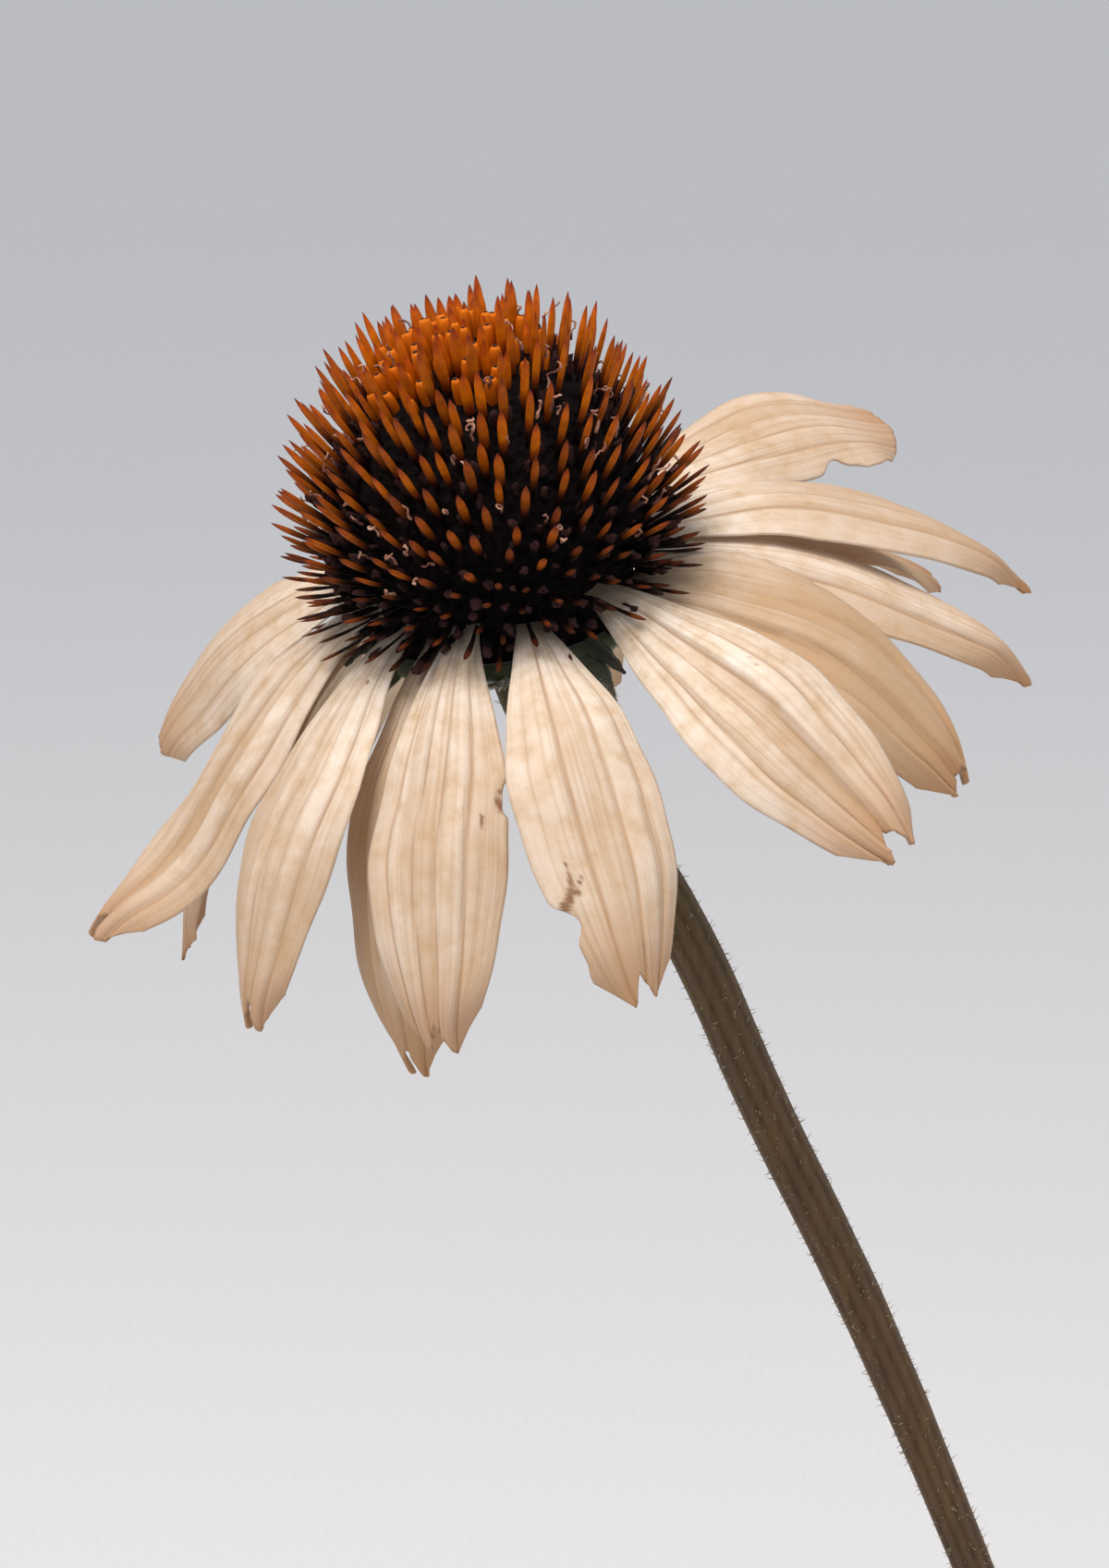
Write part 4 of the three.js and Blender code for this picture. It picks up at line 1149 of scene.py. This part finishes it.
# Shut buds: smooth and waxy orange, with the dark pore that each opens at
bud_skin, tree, along = new_material("floret_bud_shut", "along")
tint = add(
    tree, "ValToRGB", {"Fac": along},
    stops=[(0.0, "#3A1A08"), (0.45, "#B25A06"), (0.88, "#D06C06"), (0.92, "#1E0C10"), (1.0, "#0E0609")],
)
shut = add(tree, "BsdfPrincipled", {"Base Color": tint, "Roughness": 0.6, "Specular IOR Level": 0.14})
add(tree, "OutputMaterial", {"Surface": shut})
order = np.arange(BUD_COUNT) + 0.5
bearing, latitude, down = cone_seat(order, SCALE_COUNT, rng, jitter=0.02)
widths = np.array(BUD_HALF_WIDTHS) * (1 + 0.1 * rng.standard_normal((BUD_COUNT, 1)))
top = 0.925 - 0.05 * smooth_step(0.02, 0.13, down) + 0.012 * rng.standard_normal(BUD_COUNT)
foot, bend = np.full(BUD_COUNT, BUD_FOOT), np.zeros(BUD_COUNT)
points = spikes(bearing, latitude, foot, top, BUD_STATIONS, widths, BUD_SIDES, BUD_FLATTEN, bend)
buds = fanned("floret_buds", points, bud_skin, BUD_COLOUR_STATIONS)
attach(buds, "root")

# Styles: dry threads that have curled up between the scales, dull pink with brown patches
style_skin = textured(
    "style_curled_dry",
    {"Scale": 600.0},
    [(0.35, "#5E3530"), (0.5, "#A4725E"), (0.7, "#D3A48C")],
    {"Roughness": 0.6},
)
order = rng.choice(np.arange(*STYLE_PLACES), STYLE_COUNT, replace=False) + 0.5
bearing, latitude, down = cone_seat(order, SCALE_COUNT, rng, jitter=0.05)
parts = []
for tip, centre in zip(*out_to_tip(bearing, latitude)):
    out = unit(tip - centre)
    side = unit(np.cross(out, rng.standard_normal(3)))
    other = np.cross(out, side)
    long, coil, loop = rng.uniform(1.5, 3.4), rng.uniform(0.4, 1.3), rng.uniform(0.2, 0.5)
    share = np.linspace(0, 1, STYLE_STEPS)[:, None]
    turn = 2 * np.pi * coil * share**1.4
    centre = tip - out * rng.uniform(3.0, 4.2) + out * long * share * (1 - 0.4 * share)
    curl = loop * share * (np.cos(turn) * side + np.sin(turn) * other)
    curl = curl + 0.09 * np.cumsum(rng.standard_normal((STYLE_STEPS, 3)), axis=0) * share
    radii = rng.uniform(0.09, 0.13) * (1 + 0.25 * np.sin(9 * share[:, 0])) * (1 - 0.4 * share[:, 0] ** 4)
    parts.append(tube(centre + curl, radii, 6))
points, faces = gathered(parts)
styles = made("curled_styles", on_head(points), faces, style_skin)
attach(styles, "root")

# Petals. Eighteen faded ray petals, papery and no longer crisp: cream, tan at their tips, tan in
# their creases and hollows and greyish brown at the narrow foot; the tan in creases and hollows and
# the grey at the foot are partly their own colour and partly painted shade. Each is pleated
# lengthwise, broadest past its middle and notched into two or three hooked teeth; some are bitten,
# bruised or torn.
PETAL_RING = 12.0
PETAL_LEVEL = -7.0
PETAL_THICK = 0.34
BODY_ROWS = 60
TEETH_ROWS = 30
PETAL_COLUMNS = 43
BROADEST = 0.57
TEETH_START = 0.72
TWO_CLAWS = [(-1, 0.92), (-0.58, 1.01), (0.0, 0.94), (0.6, 1.01), (1, 0.93)]
BEAK = [(-1, 0.93), (-0.3, 1.035), (1, 0.93)]
POINTED = [(-1, 0.92), (0, 1.02), (1, 0.92)]
TORN = [(-1, 0.86), (-0.5, 0.92), (-0.2, 0.9), (0.1, 0.935), (0.5, 0.89), (1, 0.85)]
# Each petal's bearing, size, slopes and turns, then what is its own: fold is the depth of its
# folds, creases where they run across it and heights how high it stands between them; ripple is
# its wavy edge, foot and end its share of the width there, and taper how late it narrows; teeth
# are places across and how far each reaches, hook bends the tip down and claw sideways. bites
# and lifts say side, place, length and depth or height, a bite below nought being a swelling;
# bruises say the place along and across and the size, and tone how tanned it is; the petals that
# lie behind or under others have a higher tone, which paints their shade. PLAIN_PETAL holds what a
# petal has where its row is silent.
PLAIN_PETAL = dict(
    fold=0.5, creases=(-0.52, -0.14, 0.24, 0.6), ripple=0.22, foot=0.2, end=0.3, taper=2.0, teeth=TWO_CLAWS,
    hook=0.7, claw=0.22, bites=(), lifts=(), bruises=(),
)
PETALS = table(
    "at long wide rise droop roll twist sweep lift",
    [
        (-163, 38, 13, 2, 48, 4, 6, 2, 2.2),
        (-142, 37, 12.5, 24, 68, -4, 4, 2, 0.4, dict(end=0.15, teeth=POINTED)),
        (-120, 38, 13.4, 4, 52, -17, -27, -4, 1.6, dict(
            fold=0.3, end=0.42, teeth=[(-1, 0.92), (-0.4, 0.99), (0.0, 0.975), (0.4, 0.99), (1, 0.92)],
        )),
        (-109, 35, 12.5, 38, 66, 0, 0, -2, -0.4, dict(tone=0.5, end=0.1, teeth=POINTED)),
        (-98, 40.4, 13.6, 26, 71, 4, -4, 1, 0.5, dict(
            tone=0.6, end=0.22, fold=0.3, heights=(0.0, 0.1, 0.0, 0.1, 0.0), ripple=0.05,
            teeth=[(-1, 0.95), (0.0, 1.04), (1, 0.95)],
        )),
        (-79, 39.5, 14, 20, 67, -11, 4, 6, 2.4, dict(
            curl=-34, fold=0.8, creases=(-0.5, -0.08, 0.3, 0.62), heights=(0.1, 0.2, -0.5, 0.3, -0.1),
            ripple=0.5, end=0.36, hook=0.9, claw=0.4,
            teeth=[(-1, 0.93), (-0.5, 1.015), (0.0, 0.93), (0.5, 1.01), (1, 0.91)],
        )),
        (-50, 39, 13.3, 20, 68, 1, 2, 4, 1.4, dict(
            fold=0.6, creases=(-0.52, -0.12, 0.22, 0.58), heights=(-0.35, 0.1, -0.1, 0.2, 0.0), end=0.28,
            claw=0.3, teeth=[(-1, 0.93), (-0.5, 1.01), (0.05, 0.935), (0.55, 1.008), (1, 0.91)],
            bruises=[(0.16, 0.35, 0.01)],
        )),
        # Its tone of 0.8 paints the shade where the next petal lies over it.
        (-32, 39.5, 13.4, 30, 88, 1, 14, 6, 0.2, dict(
            tone=0.8, creases=(-0.4, 0.1, 0.55), end=0.3, claw=0.35,
            teeth=[(-1, 0.92), (-0.4, 1.01), (0.02, 0.935), (0.55, 1.01), (1, 0.91)],
        )),
        (-17, 40, 13, 17, 70, 3, -1, 3, 1.8, dict(
            fold=0.7, creases=(-0.58, -0.2, 0.14, 0.52), heights=(0.0, 0.25, -0.15, 0.2, -0.1),
            ripple=0.12, teeth=[(-1, 0.92), (-0.4, 1.0), (-0.05, 0.94), (0.55, 1.01), (1, 0.91)],
            end=0.34, claw=0.3, bites=[(1, 0.43, 0.03, 0.09), (1, 0.468, 0.016, 0.08)],
            bruises=[(0.41, 0.93, 0.011), (0.43, 0.87, 0.012), (0.45, 0.85, 0.013), (0.47, 0.87, 0.012),
                     (0.32, 0.1, 0.005), (0.49, 0.68, 0.008), (0.505, 0.66, 0.008), (0.52, 0.65, 0.007),
                     (0.535, 0.65, 0.006), (0.56, -0.4, 0.008)],
        )),
        (11, 39.5, 13.2, 6, 64, -7, -4, -1, 1.2, dict(
            fold=0.42, creases=(-0.26, 0.3, 0.7), heights=(0.1, -0.05, 0.1, -0.1), ripple=0.14,
            teeth=[(-1, 0.95), (-0.35, 1.025), (0.08, 0.95), (0.58, 1.01), (1, 0.93)], end=0.38,
            bites=[(-1, 0.81, 0.035, 0.24), (-1, 0.87, 0.06, 0.14)],
            bruises=[(0.775, -0.8, 0.019), (0.76, -0.7, 0.018), (0.745, -0.63, 0.017),
                     (0.725, -0.59, 0.014), (0.705, -0.57, 0.012), (0.685, -0.56, 0.01),
                     (0.75, -0.54, 0.013), (0.73, -0.47, 0.01), (0.715, -0.42, 0.008), (0.5, 0.5, 0.006)],
        )),
        (45, 37.5, 14.3, 16, 45, 15, 0, 3, 2.2, dict(
            fold=0.95, creases=(-0.55, -0.22, 0.1, 0.5), heights=(0.15, 0.0, -0.55, 0.2, 0.1),
            ripple=0.16, teeth=[(-1, 0.91), (-0.5, 1.015), (0.02, 0.935), (0.62, 1.005), (1, 0.93)],
            end=0.36, bruises=[(0.42, 0.42, 0.007), (0.44, 0.4, 0.007)],
        )),
        # Its tone of 0.9 paints the shadow that the petal above casts on it.
        (67, 36.5, 13.9, -7, 63, 9, 0, 1, -0.3, dict(
            fold=1.0, creases=(-0.5, -0.12, 0.28, 0.64), heights=(0.1, -0.5, 0.2, -0.3, 0.1), tone=0.9,
            end=0.34, foot=0.5, teeth=[(-1, 0.92), (-0.55, 1.01), (0.05, 0.95), (0.72, 1.01), (1, 0.99)],
            bites=[(1, 0.2, 0.28, -0.4)], lifts=[(1, 0.25, 0.25, 1.2)],
        )),
        (97, 39, 13.2, 1, 52, 4, 8, -3, 1.6, dict(
            fold=0.5, creases=(-0.45, 0.05, 0.5), hook=1.4, end=0.1, taper=1.8, claw=-0.2, teeth=BEAK,
            foot=0.45,
        )),
        (111, 41.5, 13.6, -12, 47, 10, -1, -6, 2.4, dict(
            fold=0.45, creases=(-0.4, 0.05, 0.45), hook=1.4, end=0.1, taper=1.8, claw=-0.2, teeth=BEAK,
            foot=0.4,
        )),
        (125, 39, 13.3, 1, 41, -2, 7, 0, 0.2, dict(tone=0.6, end=0.2)),
        (134, 39.5, 12.5, -22, 30, 10, 21, -1, 1.8, dict(
            fold=0.25, ripple=0.3, end=0.6, hook=-0.4,
            teeth=[(-1, 0.92), (-0.6, 0.975), (0.0, 0.995), (0.6, 0.98), (1, 0.92)],
            bites=[(-1, 0.68, 0.035, 0.16), (-1, 0.82, 0.06, -0.12)],
            lifts=[(1, 0.74, 0.14, 1.5), (1, 0.5, 0.1, -0.5), (-1, 0.88, 0.1, 1.0), (1, 0.98, 0.08, 0.6)],
        )),
        (155, 38, 13, 4, 50, 3, 5, 2, 2, dict(teeth=TORN)),
        (176, 39, 12.5, 22, 66, -2, -4, 2, 0.4, dict(teeth=TORN)),
    ],
)


def reach_of_tip(teeth, across):
    """How far along the petal each column ends: round-shouldered teeth with sharp notches."""
    places, reaches = np.transpose(teeth)
    k = np.clip(np.searchsorted(places, across) - 1, 0, len(places) - 2)
    share = (across - places[k]) / (places[k + 1] - places[k])
    rising = reaches[k + 1] > reaches[k]
    share = np.where(rising, 1 - (1 - share) ** 1.3, share**1.3)
    return reaches[k] + (reaches[k + 1] - reaches[k]) * share


def petal(spec, seed):
    """The points, faces and measures of one petal, at the origin."""
    rng = np.random.default_rng(seed)
    phase = rng.uniform(0, 2 * np.pi, 8)
    spec = PLAIN_PETAL | spec
    creases = np.array(spec["creases"]) + 0.02 * rng.standard_normal()
    heights = np.array(spec.get("heights", rng.uniform(-0.35, 0.35, len(creases) + 1)))
    t = np.linspace(-1, 1, PETAL_COLUMNS)[None, :]
    body, ending = np.linspace(-0.03, TEETH_START, BODY_ROWS)[:-1], np.linspace(TEETH_START, 1, TEETH_ROWS)
    whole = np.concatenate([body, ending])[:, None]
    reach = reach_of_tip(spec["teeth"], t)
    s = whole + (reach - 1) * smooth_step(TEETH_START, 1, whole)
    s, t = np.broadcast_arrays(s, t)
    ahead = s.clip(0)
    foot = spec["foot"]
    opening = np.sin(np.minimum(ahead / BROADEST, 1) * np.pi / 2) ** 1.15
    closing = ((ahead - BROADEST) / (1 - BROADEST)).clip(0) ** spec["taper"]
    share = (foot + (1 - foot) * opening - (1 - spec["end"]) * closing).clip(0.08)
    wavy = 0.022 * np.sin(13 * s + phase[0] + np.sign(t)) + 0.012 * np.sin(29 * s + phase[1] * np.sign(t))
    half = spec["wide"] / 2 * share * (1 + wavy)
    cut = np.ones_like(s)
    for side, place, length, depth in spec["bites"]:
        ragged = 1 + 0.05 * np.sin(120 * s + phase[2])
        hollow = depth * ragged * np.exp(-((np.abs(s - place) / length) ** 3))
        cut = cut - hollow * smooth_step(0.0, 1.0, side * t)
    t = t * cut
    sideways = t * half + spec["claw"] * smooth_step(0.93, 1.03, s) ** 1.5

    wander = 0.04 * np.sin(4 * s + phase[3]) + 0.015 * np.sin(11 * s + phase[4])
    knots = np.concatenate([[-1.25], creases, [1.25]])
    panel = np.interp(t + wander, knots, np.arange(len(knots)))
    far = np.abs(panel - np.round(panel).clip(1, len(creases)))
    crease = np.exp(-((far / 0.07) ** 2)) * smooth_step(0.0, 0.12, s)
    steps = enumerate(np.diff(heights), 1)
    level = heights[0] + sum(step * smooth_step(k - 0.16, k + 0.16, panel) for k, step in steps)
    crown = 0.16 * np.sin(np.pi * (panel % 1)) ** 0.8 + 0.1 * np.exp(-(((far - 0.2) / 0.09) ** 2))
    deep = spec["fold"] * smooth_step(0, 0.35, s)
    folds = deep * (1.1 * level + crown - 0.45 * crease)
    fine = 0.018 * np.sin(2 * np.pi * 8 * (t + wander) + 3 * np.sin(5 * s)) * smooth_step(0.05, 0.3, s)
    camber = -0.12 * spec["wide"] * t**2 * np.minimum(1, 2.5 * ahead)
    ripple = spec["ripple"] * np.sin(2 * np.pi * 2.2 * s + phase[5] + 1.3 * np.sign(t))
    ripple = ripple * np.abs(t) ** 3 * smooth_step(0.15, 0.5, s)
    for side, place, length, height in spec["lifts"]:
        ripple = ripple + height * np.exp(-(((s - place) / length) ** 2)) * (side * t).clip(0) ** 2
    sag = 0.3 * np.sin(2 * np.pi * 1.1 * s + phase[6]) * smooth_step(0.1, 0.4, s)
    sag = sag + 0.16 * np.sin(14 * s + 2 * t + phase[7])
    hook = -spec["hook"] * smooth_step(0.88, 1.05, s) * (0.8 + 0.4 * np.abs(t))
    upward = camber + folds + fine + ripple + sag * smooth_step(0.05, 0.3, s) + hook

    bruise = np.zeros_like(s)
    for along, across, size in spec["bruises"]:
        away = np.hypot((s - along) / size, (t - across) * half / spec["long"] / size / 0.7)
        bruise = np.maximum(bruise, 1 - smooth_step(0.35, 1.3, away))
        upward = upward - 0.2 * (1 - smooth_step(0.0, 1.4, away)) * np.sin(0.9 * (s - along) / size + 9 * t)
    for side, place, length, depth in spec["bites"]:
        near = np.exp(-((np.abs(s - place) / (length * 1.3)) ** 2)) * smooth_step(0.9, 1.0, side * t / cut)
        bruise = np.maximum(bruise, near * (0.8 if length < 0.03 else 0.25) * (depth > 0))
    middle = laid_on(spine(spec, 0.03 * spec["long"]), s, sideways, upward)
    thin = PETAL_THICK / 2 * (1 - 0.55 * np.abs(t / cut) ** 5) * (1 - 0.35 * smooth_step(0.85, 1, s))
    points, faces = plate(middle, thin, thin)
    # groove: how low a panel lies between the creases; the material paints it tan as painted shade.
    groove = (0.5 - 1.3 * level).clip(0, 1) * smooth_step(0.1, 0.5, s)
    fields = dict(along=ahead, across=t, crease=crease, bruise=bruise, groove=groove)
    measures = dict(zip(fields, both_sides(*fields.values())))
    measures["tone"] = np.full(len(points), spec.get("tone", 0.25 + 0.15 * rng.random()))
    return points, faces, measures


# Dried petal: papery, with a faint silky sheen, and thin enough for light to show through it.
# It is mottled every 2 mm and clouded every 20 mm
petal_skin, tree, *fields = new_material(
    "ray_petal_faded_papery", "along across crease bruise groove tone place"
)
along, across, crease, bruise, groove, tone, place = fields
mottle = add(tree, "TexNoise", {"Vector": place, "Scale": 430.0, "Detail": 5.0, "Roughness": 0.6})
clouds = add(tree, "TexNoise", {"Vector": place, "Scale": 55.0, "Detail": 2.0})
# Lengthwise veins 0.7 mm apart, drawn from the petal's own width and length
flat = add(tree, "CombineXYZ", {"X": across, "Y": along, "Z": tone})
drawn_out = add(tree, "Mapping", {"Vector": flat, "Scale": (9.0, 0.9, 5.0)})
veins = add(
    tree, "TexNoise",
    {"Vector": drawn_out, "Scale": 1.0, "Detail": 3.0, "Roughness": 0.6, "Distortion": 0.2},
)
dry_cream = add(
    tree, "ValToRGB", {"Fac": mottle},
    stops=[(0.3, "#DFC6A6"), (0.44, "#EDDBC5"), (0.58, "#F6E9DA"), (0.75, "#FAF0E6")],
)
vein_shade = add(tree, "ValToRGB", {"Fac": veins}, stops=[(0.32, "#C9B190"), (0.5, "#FFFFFF")])
veined = add(tree, "Mix", {0: 0.5, 6: dry_cream, 7: vein_shade}, **MULTIPLIED)
# Tan along the creases: partly the petal's own tan, partly painted shade in the folds.
fold_noise = add(tree, "Math", {0: mottle, 1: 0.8, 2: 0.3}, operation="MULTIPLY_ADD")
fold = add(tree, "Math", {0: crease, 1: fold_noise}, operation="MULTIPLY")
# Tan over the lower panels and by each petal's tone is painted shade, with a painted shadow on the petals
# that lie behind or under others; the tan also grows towards the tip and in clouds.
grooved = add(tree, "Math", {0: groove, 1: 0.5, 2: tone}, operation="MULTIPLY_ADD")
lower = add(tree, "Math", {0: along, 1: 0.45, 2: grooved}, operation="MULTIPLY_ADD")
tan_and_painted_shade = add(tree, "Math", {0: clouds, 1: 0.9, 2: lower}, operation="MULTIPLY_ADD")
tip = add(tree, "Math", {0: mottle, 1: 0.22, 2: along}, operation="MULTIPLY_ADD")
# Greyish brown at the narrow foot: partly the petal's own grey, partly painted shade under the cone.
foot = add(tree, "Math", {0: mottle, 1: 0.16, 2: along}, operation="MULTIPLY_ADD")
aged = stained(
    tree,
    veined,
    (fold, 0.1, 0.8, 0.0, 0.85, "#A97F55"),
    (tan_and_painted_shade, 0.86, 1.75, 0.0, 0.9, "#C4A077"),
    (tip, 0.9, 1.16, 0.0, 0.8, "#BC8450"),
    (foot, 0.08, 0.27, 0.8, 0.0, "#86705F"),
)
# Brown specks half a millimetre to a millimetre across, only a few on each petal
speck = add(tree, "TexVoronoi", {"Vector": place, "Scale": 260.0})
pick = add(tree, "Math", {0: speck.outputs["Color"], 1: 0.93}, operation="GREATER_THAN")
dot = add(tree, "MapRange", {"Value": speck, "From Min": 0.16, "From Max": 0.06, "To Max": 0.6})
speckled = add(tree, "Math", {0: pick, 1: dot}, operation="MULTIPLY")
spotted = add(tree, "Mix", {0: speckled, 6: aged, 7: "#8C5A34"}, **LAID_OVER)
hurt = add(tree, "Math", {0: mottle, 1: bruise}, operation="MULTIPLY")
bruised = stained(tree, spotted, (hurt, 0.14, 0.46, 0.0, 0.9, "#8A5C36"))
relief = add(tree, "Bump", {"Height": veins, "Strength": 0.55, "Distance": 0.0004})
relief = add(tree, "Bump", {"Height": mottle, "Strength": 0.35, "Distance": 0.0004, "Normal": relief})
papery = add(
    tree, "BsdfPrincipled",
    {"Base Color": bruised, "Roughness": 0.62, "Normal": relief, "Sheen Weight": 0.12,
     "Sheen Roughness": 0.5},
)
glow = add(tree, "BsdfTranslucent", {"Color": bruised, "Normal": relief})
skin = add(tree, "MixShader", {0: 0.22, 1: papery, 2: glow})
add(tree, "OutputMaterial", {"Surface": skin})

for i, spec in enumerate(PETALS, 1):
    points, faces, measures = petal(spec, 400 + i)
    points = turn_to(points, spec["at"], PETAL_RING) + [0, 0, PETAL_LEVEL + spec["lift"]]
    piece = made(f"ray_petal_{i:02d}", on_head(points), faces, petal_skin, **measures)
    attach(piece, "root")
    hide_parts(f"petal_{i:02d}")
